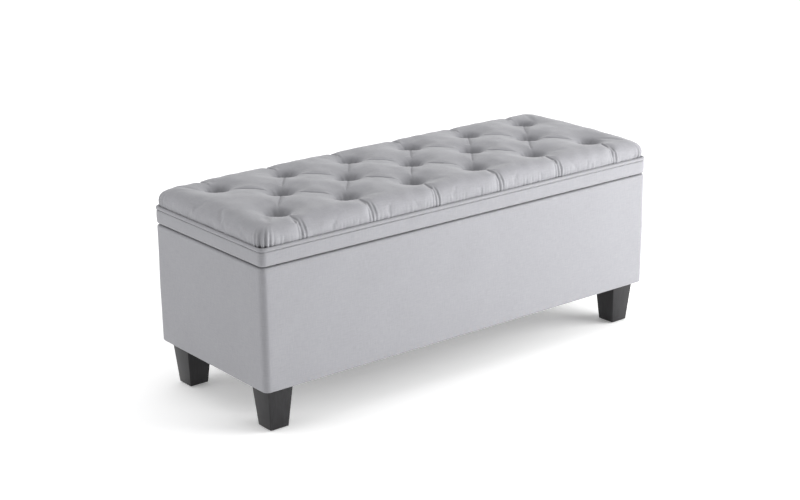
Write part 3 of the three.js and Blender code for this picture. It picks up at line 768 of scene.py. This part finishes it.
def woven_polyester(name):
    """Plain-woven polyester with a linen look: matt, with thicker threads here and there and a soft bloom."""
    cover = bpy.context.scene.bench_cover
    rgb = tuple(cover.cloth)
    material, tree, shader = blank_material(name)
    place = add_node(tree, "ShaderNodeUVMap", {"uv_map": "cloth"}).outputs["UV"]

    # A wave texture repeats every 0.314 of its scaled length, so the scale follows the thread's pitch.
    # Slubs run a few centimetres along a thread; they are drawn 2 mm wide, so that they show from afar.
    threads, slubs = [], []
    for direction, stretch in (("X", (45, 480, 1)), ("Y", (480, 45, 1))):
        thread = add_node(
            tree,
            "ShaderNodeTexWave",
            {"bands_direction": direction},
            Vector=place,
            Scale=0.314 / cover.thread,
            Distortion=0.8,
            Detail=1.0,
        )
        threads.append(thread.outputs["Fac"])
        along = add_node(tree, "ShaderNodeMapping", Vector=place, Scale=stretch).outputs["Vector"]
        slub = add_node(tree, "ShaderNodeTexNoise", Vector=along, Scale=1.0, Detail=2.0)
        slubs.append(slub.outputs["Fac"])
    weave = add_node(tree, "ShaderNodeMath", {"operation": "MULTIPLY"}, _0=threads[0], _1=threads[1])
    slubbed = add_node(tree, "ShaderNodeMath", {"operation": "ADD"}, _0=slubs[0], _1=slubs[1])
    slubbed = slubbed.outputs["Value"]
    uneven = add_node(tree, "ShaderNodeMapRange", Value=slubbed, _1=0.72, _2=1.28).outputs["Result"]

    # The nap lies a little differently from hand's width to hand's width.
    nap = add_node(tree, "ShaderNodeTexNoise", Vector=place, Scale=11.0, Detail=3.0, Roughness=0.6)
    brushed = add_node(tree, "ShaderNodeMapRange", Value=nap.outputs["Fac"], _1=0.3, _2=0.7).outputs["Result"]
    tones = []
    for share, spread in ((brushed, 0.035), (uneven, 0.1)):
        dark, light = tone(rgb, 1 - spread), tone(rgb, 1 + spread)
        mixed = add_node(tree, "ShaderNodeMix", {"data_type": "RGBA"}, _0=share, _6=dark, _7=light)
        tones.append(mixed.outputs[2])

    relief = add_node(tree, "ShaderNodeMath", {"operation": "ADD"}, _0=weave.outputs["Value"], _1=uneven)
    dressed(
        tree, shader, 0.55, tones, relief.outputs["Value"], 0.22, 0.0005,
        Roughness=0.75, Specular_IOR_Level=0.35, Sheen_Weight=0.2, Sheen_Roughness=0.4,
    )
    return material


def spunbonded_lining(name):
    """Spun-bonded polypropylene cloth: thin, dark and matt, dimpled by its bonding points."""
    rgb = tuple(bpy.context.scene.bench_cover.lining)
    material, tree, shader = blank_material(name)
    place = add_node(tree, "ShaderNodeTexCoord").outputs["Object"]
    dimple_pitch = 0.003
    dimples = add_node(tree, "ShaderNodeTexVoronoi", Vector=place, Scale=1 / dimple_pitch, Randomness=0.3)
    fibres = add_node(tree, "ShaderNodeTexNoise", Vector=place, Scale=600.0, Detail=4.0)
    tones = (tone(rgb, 0.6), tone(rgb, 1.5))
    dressed(
        tree, shader, fibres.outputs["Fac"], tones, dimples.outputs["Distance"], 0.5, 0.0006,
        Roughness=0.85, Sheen_Weight=0.1,
    )
    return material


def stained_rubberwood(name):
    """Rubberwood under an espresso stain and satin lacquer: nearly black, its straight grain just showing."""
    legs = bpy.context.scene.bench_legs
    rgb = tuple(legs.stain)
    material, tree, shader = blank_material(name)
    place = add_node(tree, "ShaderNodeTexCoord").outputs["Object"]
    lengthwise = add_node(tree, "ShaderNodeMapping", Vector=place, Scale=(1.0, 1.0, 0.07)).outputs["Vector"]
    noise = {"Scale": 1 / legs.grain, "Detail": 5.0, "Distortion": 0.5}
    grain = add_node(tree, "ShaderNodeTexNoise", Vector=lengthwise, **noise).outputs["Fac"]
    streaks = add_node(tree, "ShaderNodeMapRange", Value=grain, _1=0.35, _2=0.68)
    lacquer = add_node(tree, "ShaderNodeMapRange", Value=grain, _3=0.30, _4=0.44)
    tree.links.new(lacquer.outputs["Result"], shader.inputs["Roughness"])
    tones = (tone(rgb, 0.65), tone(rgb, 1.5))
    dressed(
        tree, shader, streaks.outputs["Result"], tones, grain, 0.12, 0.0004,
        Specular_IOR_Level=0.3, Coat_Weight=0.12, Coat_Roughness=0.3,
    )
    return material


def poplar_plywood(name):
    """Poplar plywood, sanded and left bare: pale and matt, with long soft grain."""
    material, tree, shader = blank_material(name)
    place = add_node(tree, "ShaderNodeTexCoord").outputs["Object"]
    grain_width, grain_length = 0.011, 0.16
    stretch = (1 / grain_length, 1 / grain_width, 1 / grain_width)
    lengthwise = add_node(tree, "ShaderNodeMapping", Vector=place, Scale=stretch).outputs["Vector"]
    noise = {"Scale": 1.0, "Detail": 6.0, "Distortion": 0.4}
    grain = add_node(tree, "ShaderNodeTexNoise", Vector=lengthwise, **noise).outputs["Fac"]
    tones = (tone(srgb("#A9834F")), tone(srgb("#DDC196")))
    dressed(tree, shader, grain, tones, grain, 0.2, 0.0004, Roughness=0.7)
    return material


def zinc_plated_steel(name):
    """Pressed steel with bright zinc plating: cool grey, its roughness softly mottled."""
    material, tree, shader = blank_material(name)
    place = add_node(tree, "ShaderNodeTexCoord").outputs["Object"]
    crystals = add_node(tree, "ShaderNodeTexVoronoi", Vector=place, Scale=320.0)
    handling = add_node(tree, "ShaderNodeTexNoise", Vector=place, Scale=90.0, Detail=3.0)
    rough = add_node(tree, "ShaderNodeMapRange", Value=crystals.outputs["Distance"], _3=0.26, _4=0.42)
    tree.links.new(rough.outputs["Result"], shader.inputs["Roughness"])
    tones = (tone(srgb("#9EA2A6")), tone(srgb("#C8CBCE")))
    dressed(tree, shader, handling.outputs["Fac"], tones, Metallic=1.0)
    return material


def moulded(name, rgb, roughness, grit):
    """A moulded polymer: even colour, with the fine texture that its mould gave it."""
    material, tree, shader = blank_material(name)
    place = add_node(tree, "ShaderNodeTexCoord").outputs["Object"]
    texture = add_node(tree, "ShaderNodeTexNoise", Vector=place, Scale=1 / grit, Detail=3.0).outputs["Fac"]
    tones = (tone(rgb, 0.8), tone(rgb, 1.25))
    dressed(tree, shader, texture, tones, texture, 0.25, 0.0003, Roughness=roughness)
    return material


def moulded_nylon(name):
    """Injection-moulded nylon: black, with a soft sheen."""
    return moulded(name, srgb("#1C1C1E"), 0.45, 0.0008)


def bumper_rubber(name):
    """Moulded rubber: dark grey and matt."""
    return moulded(name, srgb("#38383A"), 0.75, 0.0006)


FINISHES = {
    "cover_fabric": woven_polyester,
    "lining_cloth": spunbonded_lining,
    "espresso_wood": stained_rubberwood,
    "plywood": poplar_plywood,
    "zinc_steel": zinc_plated_steel,
    "glide_plastic": moulded_nylon,
    "bumper_rubber": bumper_rubber,
}


def finish(slot):
    """The material of a slot, made when it is first asked for and named for its maker."""
    maker = FINISHES[slot]
    return bpy.data.materials.get(maker.__name__) or maker(maker.__name__)


# ---------------------------------------------------------------- operators
class BENCH_OT_stage(Operator):
    """Adds the floor, the lights and the camera."""

    bl_idname = "bench.stage"
    bl_label = "Stage"

    def execute(self, context):
        self.add_floor()
        self.add_lights(context)
        self.add_camera(context)
        return {"FINISHED"}

    def add_floor(self):
        deselect()
        bpy.ops.mesh.primitive_plane_add(size=60)
        floor = bpy.context.object
        floor.name = "studio_floor"
        # Matt white paint. It glows a little, which keeps the shadow under the bench faint.
        material, _, shader = blank_material("painted_floor")
        for name, value in (
            ("Base Color", tone(srgb("#F8F8F8"))),
            ("Roughness", 0.9),
            ("Specular IOR Level", 0.1),
            ("Emission Color", tone(srgb("#FFFFFF"))),
            ("Emission Strength", 0.2),
        ):
            shader.inputs[name].default_value = value
        floor.data.materials.append(material)

    def add_lights(self, context):
        world = bpy.data.worlds.new("white_studio")
        context.scene.world = world
        world.use_nodes = True
        self.shade_world(world.node_tree, context.scene.bench_view.azimuth)
        for name, place, size, power in (
            ("key_softbox", (2.4, -2.2, 0.75), 2.4, 174),
            ("side_softbox", (-3.0, 1.2, 0.7), 1.2, 17),
        ):
            light = bpy.data.lights.new(name, "AREA")
            light.size = size
            light.energy = power
            lamp = bpy.data.objects.new(name, light)
            lamp.location = place
            aim = Vector((0, 0, 0.3)) - Vector(place)
            lamp.rotation_euler = aim.to_track_quat("-Z", "Y").to_euler()
            context.scene.collection.objects.link(lamp)
        context.scene.view_settings.view_transform = "Standard"

    def shade_world(self, tree, azimuth):
        """White all round, but dimmer on the side of the camera, as a studio is behind the photographer."""
        bright, dim = 1.2, 0.22
        towards = Vector((math.sin(azimuth), -math.cos(azimuth), 0.22)).normalized()
        place = add_node(tree, "ShaderNodeTexCoord").outputs["Generated"]
        facing = add_node(tree, "ShaderNodeVectorMath", {"operation": "DOT_PRODUCT"}, _0=place, _1=towards)
        smooth = {"interpolation_type": "SMOOTHSTEP"}
        spread = {"_1": 0.25, "_2": 0.95, "_3": bright, "_4": dim}
        strength = add_node(tree, "ShaderNodeMapRange", smooth, Value=facing.outputs["Value"], **spread)
        # The backdrop itself looks evenly white from every side.
        seen = add_node(tree, "ShaderNodeLightPath").outputs["Is Camera Ray"]
        lit = strength.outputs["Result"]
        shown = add_node(tree, "ShaderNodeMix", {"data_type": "FLOAT"}, _0=seen, _2=lit, _3=bright)
        background = tree.nodes["Background"]
        background.inputs["Color"].default_value = (1, 1, 1, 1)
        tree.links.new(shown.outputs[0], background.inputs["Strength"])

    def add_camera(self, context):
        view = context.scene.bench_view
        data = bpy.data.cameras.new("camera")
        data.sensor_width = 36
        data.lens = view.lens
        camera = bpy.data.objects.new("camera", data)
        context.scene.collection.objects.link(camera)
        context.scene.camera = camera
        level = Vector((math.cos(view.azimuth), math.sin(view.azimuth), 0))
        flat, rise = math.cos(view.elevation), math.sin(view.elevation)
        back = Vector((level.y * flat, -level.x * flat, rise))
        upward = back.cross(level)
        target = Vector((0, 0, view.height))
        # The camera stands a little to the left and above, so the bench is right of centre and low.
        shift_left, shift_up = 0.0295, 0.0198
        camera.location = target + back * view.distance - shift_left * level + shift_up * upward
        right = math.cos(view.roll) * level + math.sin(view.roll) * upward
        camera.rotation_mode = "QUATERNION"
        camera.rotation_quaternion = Matrix((right, back.cross(right), back)).transposed().to_quaternion()


class BENCH_OT_tufted_top(Operator):
    """Makes the tufted cushion of the lid: pits, valleys, pleats and gathers, filled by cloth simulation."""

    bl_idname = "bench.tufted_top"
    bl_label = "Tufted top"

    def execute(self, context):
        points, cloth, row = plain_top(1)
        coarse = drawn_in(points, cloth)
        fine_points, fine_cloth, fine_row = plain_top(2)
        fine = drawn_in(fine_points, fine_cloth)
        fine += doubled(doubled(filled(coarse, row), 0), 1)
        fine += surface_normals(fine) * folded(fine, fine_cloth, fine_row)[..., None]
        top = closed_top("tufted_top", fine)
        write_cloth_map(top, [*fine_cloth.reshape(-1, 2), (0, 0)])
        placed(top, "tufted_top", "lid", "cover_fabric", "tufted_cover", "cushion_foam")
        return {"FINISHED"}


class BENCH_OT_buttons(Operator):
    """Adds the covered buttons in their three rows, each row on its twine."""

    bl_idname = "bench.buttons"
    bl_label = "Buttons"

    def execute(self, context):
        radius = 1.12 * BUTTON_RADIUS
        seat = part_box("front_button_row")[1].z - 0.005
        dome = [(0.86, -0.12), (0.98, 0.02), (1.0, 0.14), (0.96, 0.28)]
        dome += [(0.84, 0.42), (0.62, 0.54), (0.34, 0.61), (0.1, 0.63)]
        for node in BUTTON_ROWS:
            button = turned([(radius * r, seat + radius * h) for r, h in dome], 28)
            write_cloth_map(button, [(v.co.x, v.co.y) for v in button.data.vertices])
            places = [(x, y, 0) for x, y in row_places(node)]
            caps = copied(button, places)
            bpy.ops.object.shade_smooth_by_angle(angle=math.radians(80))
            row = joined([caps, *self.twine(node, places, seat + 0.002)])
            placed(row, node.replace("_row", "s"), "lid", "cover_fabric", node)
        return {"FINISHED"}

    def twine(self, node, places, top):
        """The twine along the underside of the board, and up to each button."""
        radius = 0.0009
        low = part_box(node)[0].z + radius
        strands = [rod(radius, places[0][:2] + (low,), places[-1][:2] + (low,), 6)]
        strands += [rod(radius, (x, y, low), (x, y, top), 6) for x, y, _ in places]
        return strands


class BENCH_OT_covers(Operator):
    """Adds the padded cover of the base, the boxing round the lid and the welt between boxing and top."""

    bl_idname = "bench.covers"
    bl_label = "Covers and welt"

    def execute(self, context):
        edge = context.scene.bench_cover.edge_radius
        self.base_cover(edge)
        self.boxing(edge)
        self.welt(context.scene.bench_cover.welt_radius)
        return {"FINISHED"}

    def base_cover(self, edge):
        inner = PANEL_OUT - OUTLINE.x + 0.0004
        well = WELL.x - OUTLINE.x
        top, bottom = BODY_TOP, BODY_BOTTOM
        rim = 0.0016
        section = [
            (inner, bottom + 0.001),
            *arc((-edge, bottom + edge), edge, -90, 0, 6),
            *straight((0, bottom + edge), (0, top - edge), 24),
            *arc((-edge, top - edge), edge, 0, 90, 6),
            *straight((-edge, top), (well + rim, top), 4),
            *arc((well + rim, top - rim), rim, 90, 180, 4),
            (well, PANEL_TOP + 0.0002),
            (inner, PANEL_TOP + 0.0002),
        ]

        def relief(run, out, height):
            outside = smooth_step(out, -0.004, 0.0) + 0 * height
            full = np.sin(math.pi * np.clip((height - bottom) / (top - bottom), 0, 1))
            slack = unevenness(run + 0 * height, height + 0 * run, 0.16, seed=5)
            pulls = ripple(run, 0.021, seed=8) * (bell(height - bottom, 0.014) + bell(height - top, 0.010))
            return outside * (0.0008 * full + 0.00035 * slack + 0.00022 * pulls)

        cover = ring_band("base_cover_wrap", section, 0.008, relief)
        placed(cover, "base_cover_wrap", "base", "cover_fabric", "base_cover")

    def boxing(self, edge):
        inner = BOARD.x - OUTLINE.x + 0.0004
        under = half_size("lid_under_cloth").x - OUTLINE.x
        low, high = LID_BOTTOM, BAND_TOP
        section = [
            (under, low + 0.001),
            (under + 0.0012, low + 0.0001),
            *straight((under, low), (-edge, low), 5),
            *arc((-edge, low + edge), edge, -90, 0, 6),
            *straight((0, low + edge), (0, high - 0.002), 9),
            *arc((-0.002, high - 0.002), 0.002, 0, 90, 3),
            (inner, high),
            (inner, BOARD_BOTTOM - 0.0003),
            (under, BOARD_BOTTOM - 0.0003),
        ]

        def relief(run, out, height):
            outside = smooth_step(out, -0.003, 0.0) + 0 * height
            full = np.sin(math.pi * np.clip((height - low) / (high - low), 0, 1))
            slack = unevenness(run + 0 * height, height + 0 * run, 0.07, seed=21)
            puckers = ripple(run, 0.012, seed=23) * bell(height - high, 0.009)
            return outside * (0.0009 * full + 0.0003 * slack + 0.0003 * puckers)

        band = ring_band("lid_band", section, 0.006, relief)
        placed(band, "lid_band", "lid", "cover_fabric", "lid_boxing")

    def welt(self, radius):
        middle_line = half_size("lid_welt").x - WELT_RADIUS - OUTLINE.x
        sides = 18
        section = arc((middle_line, WELT_HEIGHT), radius, 0, 360 - 360 / sides, sides - 1)

        def relief(run, out, height):
            return 0.00018 * ripple(run, 0.014, seed=31) + 0 * height

        welt = ring_band("piped_welt", section, 0.005, relief)
        placed(welt, "piped_welt", "lid", "cover_fabric", "lid_welt")


class BENCH_OT_legs(Operator):
    """Adds the four tapered legs with their glides."""

    bl_idname = "bench.legs"
    bl_label = "Legs"

    def execute(self, context):
        legs = context.scene.bench_legs
        for corner in CORNERS:
            self.leg(corner, legs.eased_edge)
            self.glide(corner)
        return {"FINISHED"}

    def leg(self, corner, edge):
        node = f"{corner}_leg"
        low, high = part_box(node)
        centre = middle(node)
        foot = self.foot_share(node)
        leg = cube(low, high)
        bpy.ops.object.mode_set(mode="EDIT")
        select_faces(leg, lambda place, normal: normal.z < -0.9)
        bpy.ops.transform.resize(value=(foot, foot, 1), center_override=(centre.x, centre.y, low.z))
        bpy.ops.object.mode_set(mode="OBJECT")
        placed(eased(leg, edge, 4), f"{corner}_tapered_leg", "base", "espresso_wood", node)

    def foot_share(self, node):
        """How wide the foot is, as a share of the leg's top."""
        low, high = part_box(node)
        points = [v.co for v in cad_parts[node].data.vertices if v.co.z < low.z + 0.001]
        return (max(p.x for p in points) - min(p.x for p in points)) / (high.x - low.x)

    def glide(self, corner):
        node = f"{corner}_glide"
        low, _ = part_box(node)
        leg_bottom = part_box(f"{corner}_leg")[0].z
        radius = half_size(node).x
        profile = [(0.8, 0.0), (0.94, 0.12), (1.0, 0.35), (1.0, 1.0)]
        glide = turned([(radius * r, leg_bottom * h) for r, h in profile], 36)
        glide.location = (middle(node).x, middle(node).y, low.z)
        bpy.ops.object.shade_smooth_by_angle(angle=math.radians(50))
        placed(glide, f"{corner}_nail_glide", "base", "glide_plastic", node)


class BENCH_OT_linings(Operator):
    """Adds the lining of the storage well, the cloth under the lid and the dust cloth, with their staples."""

    bl_idname = "bench.linings"
    bl_label = "Linings"

    def execute(self, context):
        self.well_lining()
        self.under_cloth()
        self.dust_cloth()
        return {"FINISHED"}

    def well_lining(self):
        """One ring of cloth down the walls and a bottom, from the rim to the middle of the floor."""
        clear = 0.0012
        half_x, half_y = WELL.x - clear, WELL.y - clear
        top, floor, bend = PANEL_TOP - 0.0006, WELL_FLOOR + clear, 0.006
        points, outward = outline(half_x, half_y, 0.007, 0.02, 5)
        run = run_along(points)
        walls = [(0.0, height) for height in np.linspace(top, floor + bend, 16)]
        section = walls + arc((-bend, floor + bend), bend, 0, -90, 4)[1:]
        hem_height, hem_thickness = 0.018, 0.0004
        rings = []
        for out, height in section:
            slack = 0.0011 * (1 + unevenness(run, height + 0 * run, 0.11, seed=41))
            hem = hem_thickness * (height > top - hem_height)
            free = smooth_step(top - height, 0.0, 0.03) * smooth_step(height - floor, 0.0, 0.03)
            ring = points + outward * np.minimum(out - hem - free * slack, 0)[:, None]
            rings.append(np.column_stack([ring, np.full(len(ring), height)]))
        for share in np.linspace(0.92, 0.08, 9):
            ring = (points - outward * bend) * share
            slack = 0.0007 * (1 + unevenness(ring[:, 0], ring[:, 1], 0.13, seed=43))
            rings.append(np.column_stack([ring, floor + slack]))
        count = len(points)
        faces = []
        for level in range(len(rings) - 1):
            upper, lower = level * count, (level + 1) * count
            for i in range(count):
                follow = (i + 1) % count
                faces.append((upper + i, lower + i, lower + follow, upper + follow))
        hub = len(rings) * count
        last = hub - count
        faces += [(last + i, hub, last + (i + 1) % count) for i in range(count)]
        lining = mesh_object("well_lining", np.concatenate([*rings, [[0, 0, floor]]]), faces)
        self.thicken(lining, 0.0007, 1)
        placed(lining, "well_lining", "base", "lining_cloth", "storage_lining")
        edges = along_edges(half_x, half_y, 0.055, top - 0.008, margin=0.02, inset=0.0008)
        staples("well_lining_staples", "base", *edges, above=0.0006)

    def under_cloth(self):
        half = half_size("lid_under_cloth")
        half_x, half_y = half.x + 0.0035, half.y + 0.0012
        cloth = self.flat_cloth(half_x, half_y, LID_BOTTOM + 0.0002, 0.0011, 51)
        placed(cloth, "lid_lining", "lid", "lining_cloth", "lid_under_cloth")
        edges = along_edges(half.x - 0.004, half.y - 0.004, 0.05, LID_BOTTOM - 0.0001)
        staples("lid_lining_staples", "lid", *edges)

    def dust_cloth(self):
        half = half_size("dust_cover")
        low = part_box("dust_cover")[0].z
        cloth = self.flat_cloth(half.x, half.y, low + 0.0003, 0.0, 53)
        placed(cloth, "dust_cloth", "base", "lining_cloth", "dust_cover")
        edges = along_edges(half.x - 0.006, half.y - 0.006, 0.05, low + 0.0001)
        staples("dust_cloth_staples", "base", *edges)

    def flat_cloth(self, half_x, half_y, height, sag, seed):
        """A stretched cloth with a turned hem, its underside at a height, hanging upwards clear of it."""
        hem, fold = 0.014, 0.002
        x, y = (
            np.array([-half, -inner, *np.linspace(fold - inner, inner - fold, count), inner, half])
            for half, inner, count in ((half_x, half_x - hem, 90), (half_y, half_y - hem, 36))
        )
        grid_x, grid_y = np.meshgrid(x, y, indexing="ij")
        inside = np.minimum(half_x - abs(grid_x), half_y - abs(grid_y))
        raised = 0.0004 * smooth_step(inside, hem, hem + fold)
        slack = sag * (0.5 + 0.25 * unevenness(grid_x, grid_y, 0.12, seed)) * smooth_step(inside, hem, 0.08)
        points = np.stack([grid_x, grid_y, height + raised + np.maximum(slack, 0)], axis=-1)
        cloth = mesh_object("cloth", points.reshape(-1, 3), grid_faces(len(x), len(y)))
        return self.thicken(cloth, 0.0004, -1)

    def thicken(self, cloth, thickness, offset):
        select_only(cloth)
        solid = cloth.modifiers.new("thickness", "SOLIDIFY")
        solid.thickness = thickness
        solid.offset = offset
        bpy.ops.object.modifier_apply(modifier=solid.name)
        return cloth


class BENCH_OT_hinges(Operator):
    """Adds the two butt hinges with their pins and screws."""

    bl_idname = "bench.hinges"
    bl_label = "Hinges"

    def execute(self, context):
        for end, _ in ENDS:
            self.leaf(end, "base_leaf", "base", 0)
            self.leaf(end, "lid_leaf", "lid", 1)
            self.pin(end)
        return {"FINISHED"}

    def leaf(self, end, part, body, first):
        """A plate with every other knuckle, and its three screws."""
        node = f"{end}_hinge_{part}"
        low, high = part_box(node)
        pin = middle(f"{end}_hinge_pin")
        radius = high.y - pin.y
        thickness, clearance, gap, knuckles = 0.0011, 0.0014, 0.00015, 5
        up = 1 if body == "base" else -1
        face = pin.z + up * (thickness - clearance)
        bottom, top = sorted((face, pin.z - up * clearance))
        pitch = (high.x - low.x) / knuckles
        plate = cube((low.x, low.y, bottom), (high.x, pin.y - radius - 0.0004, top))
        parts = [eased(plate, 0.0004, 2)]
        for i in range(first, knuckles, 2):
            left, right = low.x + i * pitch + gap, low.x + (i + 1) * pitch - gap
            tongue = cube((left, pin.y - radius - 0.001, bottom), (right, pin.y - 0.4 * radius, top))
            knuckle = rod(radius, (left, pin.y, pin.z), (right, pin.y, pin.z), 40)
            parts += [tongue, eased(knuckle, 0.0003, 2)]
        placed(joined(parts), f"{end}_{part}", body, "zinc_steel", node)
        bpy.ops.object.shade_smooth_by_angle(angle=math.radians(40))
        near, far = 0.008, 0.016
        screws = ((0.16, far, 0.4), (0.5, near, 1.1), (0.84, far, 0.8))
        places = [(low.x + (high.x - low.x) * share, low.y + inset, face) for share, inset, _ in screws]
        turns = [(0 if up > 0 else math.pi, 0, angle) for _, _, angle in screws]
        placed(copied(screw_head(0.0036), places, turns), f"{end}_{part}_screws", body, "zinc_steel")

    def pin(self, end):
        node = f"{end}_hinge_pin"
        low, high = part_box(node)
        centre = middle(node)
        head, head_radius = 0.001, half_size(node).y
        parts = [rod(0.0015, (low.x, *centre.yz), (high.x, *centre.yz), 24)]
        for x in (low.x, high.x - head):
            end_face = rod(head_radius, (x, *centre.yz), (x + head, *centre.yz), 24)
            parts.append(eased(end_face, 0.0004, 3))
        placed(joined(parts), f"{end}_hinge_pin_shaft", "base", "zinc_steel", node)


class BENCH_OT_stays(Operator):
    """Adds the two lid stays: wall plate, arm, link, lid bracket, rivets and screws."""

    bl_idname = "bench.stays"
    bl_label = "Lid stays"

    def execute(self, context):
        for end, side in ENDS:
            self.stay(end, side)
        return {"FINISHED"}

    def stay(self, end, side):
        elbow, lid_pivot, wall_pivot = (
            middle(f"{end}_stay_{part}").yz for part in ("elbow_rivet", "lid_rivet", "wall_plate")
        )
        for part, lower, upper in (("arm", wall_pivot, elbow), ("link", elbow, lid_pivot)):
            node = f"{end}_stay_{part}"
            low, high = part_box(node)
            width = 2 * (high.y - max(lower.x, upper.x))
            bar = strip(lower, upper, width, low.x, high.x - low.x)
            placed(bar, f"{end}_stay_{part}_strip", f"{end}_stay_{part}", "zinc_steel", node)
        self.wall_plate(end, side, wall_pivot)
        self.lid_bracket(end, side, lid_pivot)
        for rivet, body in (("elbow_rivet", f"{end}_stay_arm"), ("lid_rivet", "lid")):
            node = f"{end}_stay_{rivet}"
            placed(self.rivet(node), f"{end}_stay_{rivet}_head", body, "zinc_steel", node)

    def rivet(self, node):
        low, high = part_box(node)
        radius, length = half_size(node).y, high.x - low.x
        head = 0.0011
        lower = [(0.55, 0), (0.85, 0.35 * head), (1.0, head), (0.6, head)]
        upper = [(share, length - height) for share, height in reversed(lower)]
        body = turned([(radius * share, height) for share, height in lower + upper], 32)
        body.rotation_euler = (0, math.pi / 2, 0)
        body.location = (low.x, middle(node).y, middle(node).z)
        bpy.ops.object.shade_smooth_by_angle(angle=math.radians(40))
        return body

    def wall_plate(self, end, side, pivot):
        """A plate on the wall, with a washer that keeps the arm off it and the stud that the arm turns on."""
        node = f"{end}_stay_wall_plate"
        low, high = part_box(node)
        thickness, washer_radius = 0.002, 0.005
        wall, inner = (high.x, low.x) if side > 0 else (low.x, high.x)
        face = wall - side * thickness
        arm_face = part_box(f"{end}_stay_arm")[1 if side > 0 else 0].x
        plate = eased(cube((min(wall, face), low.y, low.z), (max(wall, face), high.y, high.z)), 0.0012, 3)
        washer = eased(rod(washer_radius, (face, *pivot), (arm_face + side * 0.0001, *pivot)), 0.0002, 2)
        stud = eased(rod(0.6 * washer_radius, (face, *pivot), (inner, *pivot)), 0.0002, 2)
        placed(joined([plate, washer, stud]), f"{end}_stay_plate", "base", "zinc_steel", node)
        beside, inset = 0.0108, 0.007
        places = [(face, pivot.x + beside * y, z) for y in (-1, 1) for z in (low.z + inset, high.z - inset)]
        turns = [(0, -side * math.pi / 2, 0)] * len(places)
        placed(copied(screw_head(0.0034), places, turns), f"{end}_stay_plate_screws", "base", "zinc_steel")

    def lid_bracket(self, end, side, pivot):
        """A foot screwed to the lid board, with a round-ended tab that the link hangs on."""
        node = f"{end}_stay_lid_bracket"
        low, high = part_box(node)
        thickness, foot_thickness = 0.002, 0.0015
        outer = high.x if side > 0 else low.x
        inner = outer - side * thickness
        tab = rod(pivot.y - low.z, (outer, *pivot), (inner, *pivot), 48)
        bpy.ops.object.mode_set(mode="EDIT")
        select_points(tab, lambda point: point.z > pivot.y + 1e-6)
        bpy.ops.transform.resize(value=(1, 1.7, 0.05), center_override=(outer, pivot.x, pivot.y))
        bpy.ops.transform.translate(value=(0, 0, high.z - pivot.y - 0.0004))
        bpy.ops.object.mode_set(mode="OBJECT")
        face = high.z - foot_thickness
        foot = cube((low.x, low.y, face), high)
        bracket = joined([eased(tab, 0.0004, 2, 60), eased(foot, 0.0006, 2)])
        placed(bracket, f"{end}_stay_bracket", "lid", "zinc_steel", node)
        centre_x, inset = (low.x + high.x) / 2 - side * 0.003, 0.006
        places = [(centre_x, low.y + inset, face), (centre_x, high.y - inset, face)]
        turns = [(math.pi, 0, 0.5), (math.pi, 0, 1.2)]
        placed(copied(screw_head(0.0036), places, turns), f"{end}_stay_bracket_screws", "lid", "zinc_steel")


class BENCH_OT_bumpers(Operator):
    """Adds the two rubber bumpers on the front rim."""

    bl_idname = "bench.bumpers"
    bl_label = "Bumpers"

    def execute(self, context):
        for end, _ in ENDS:
            node = f"{end}_bumper"
            low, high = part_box(node)
            radius, height = half_size(node).x, high.z - low.z
            profile = [(1.0, 0), (1.0, 0.35), (0.93, 0.7), (0.75, 0.9), (0.45, 1.0)]
            dome = turned([(radius * r, height * h) for r, h in profile], 28)
            dome.location = (middle(node).x, middle(node).y, low.z)
            bpy.ops.object.shade_smooth_by_angle(angle=math.radians(60))
            placed(dome, f"{end}_rubber_bumper", "base", "bumper_rubber", node)
        return {"FINISHED"}


class BENCH_OT_carcass(Operator):
    """Gives the wooden carcass and the bolts their finishes."""

    bl_idname = "bench.carcass"
    bl_label = "Carcass finishes"

    def execute(self, context):
        wooden = ["storage_floor", "lid_board"]
        wooden += [f"{side}_panel" for side in ("front", "back", "left_end", "right_end")]
        wooden += [f"{side}_cleat" for side in ("front", "back", "left", "right")]
        wooden += [f"{corner}_corner_block" for corner in CORNERS]
        bolts = [f"{corner}_hanger_bolt" for corner in CORNERS]
        for nodes, slot in ((wooden, "plywood"), (bolts, "zinc_steel")):
            for node in nodes:
                for material_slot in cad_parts[node].material_slots:
                    material_slot.material = finish(slot)
        return {"FINISHED"}


OPERATORS = (
    BENCH_OT_stage,
    BENCH_OT_covers,
    BENCH_OT_tufted_top,
    BENCH_OT_buttons,
    BENCH_OT_legs,
    BENCH_OT_linings,
    BENCH_OT_hinges,
    BENCH_OT_stays,
    BENCH_OT_bumpers,
    BENCH_OT_carcass,
)


class BENCH_PT_pieces(Panel):
    """Lists the bench's pieces in the sidebar."""

    bl_label = "Storage bench"
    bl_idname = "BENCH_PT_pieces"
    bl_space_type = "VIEW_3D"
    bl_region_type = "UI"
    bl_category = "Bench"

    def draw(self, context):
        for operator in OPERATORS:
            self.layout.operator(operator.bl_idname)
        for name, _ in SETTINGS:
            box = self.layout.box()
            for prop in getattr(context.scene, name).bl_rna.properties:
                if not prop.is_readonly and prop.identifier != "name":
                    box.prop(getattr(context.scene, name), prop.identifier)


SETTINGS = (
    ("bench_tufting", BENCH_PG_tufting),
    ("bench_cover", BENCH_PG_cover),
    ("bench_legs", BENCH_PG_legs),
    ("bench_view", BENCH_PG_view),
)


def register():
    for name, group in SETTINGS:
        bpy.utils.register_class(group)
        setattr(bpy.types.Scene, name, PointerProperty(type=group))
    for operator in OPERATORS:
        bpy.utils.register_class(operator)
    bpy.utils.register_class(BENCH_PT_pieces)


def unregister():
    bpy.utils.unregister_class(BENCH_PT_pieces)
    for operator in reversed(OPERATORS):
        bpy.utils.unregister_class(operator)
    for name, group in reversed(SETTINGS):
        delattr(bpy.types.Scene, name)
        bpy.utils.unregister_class(group)


def main():
    register()
    for operator in OPERATORS:
        category, name = operator.bl_idname.split(".")
        getattr(getattr(bpy.ops, category), name)()


if __name__ == "__main__":
    main()
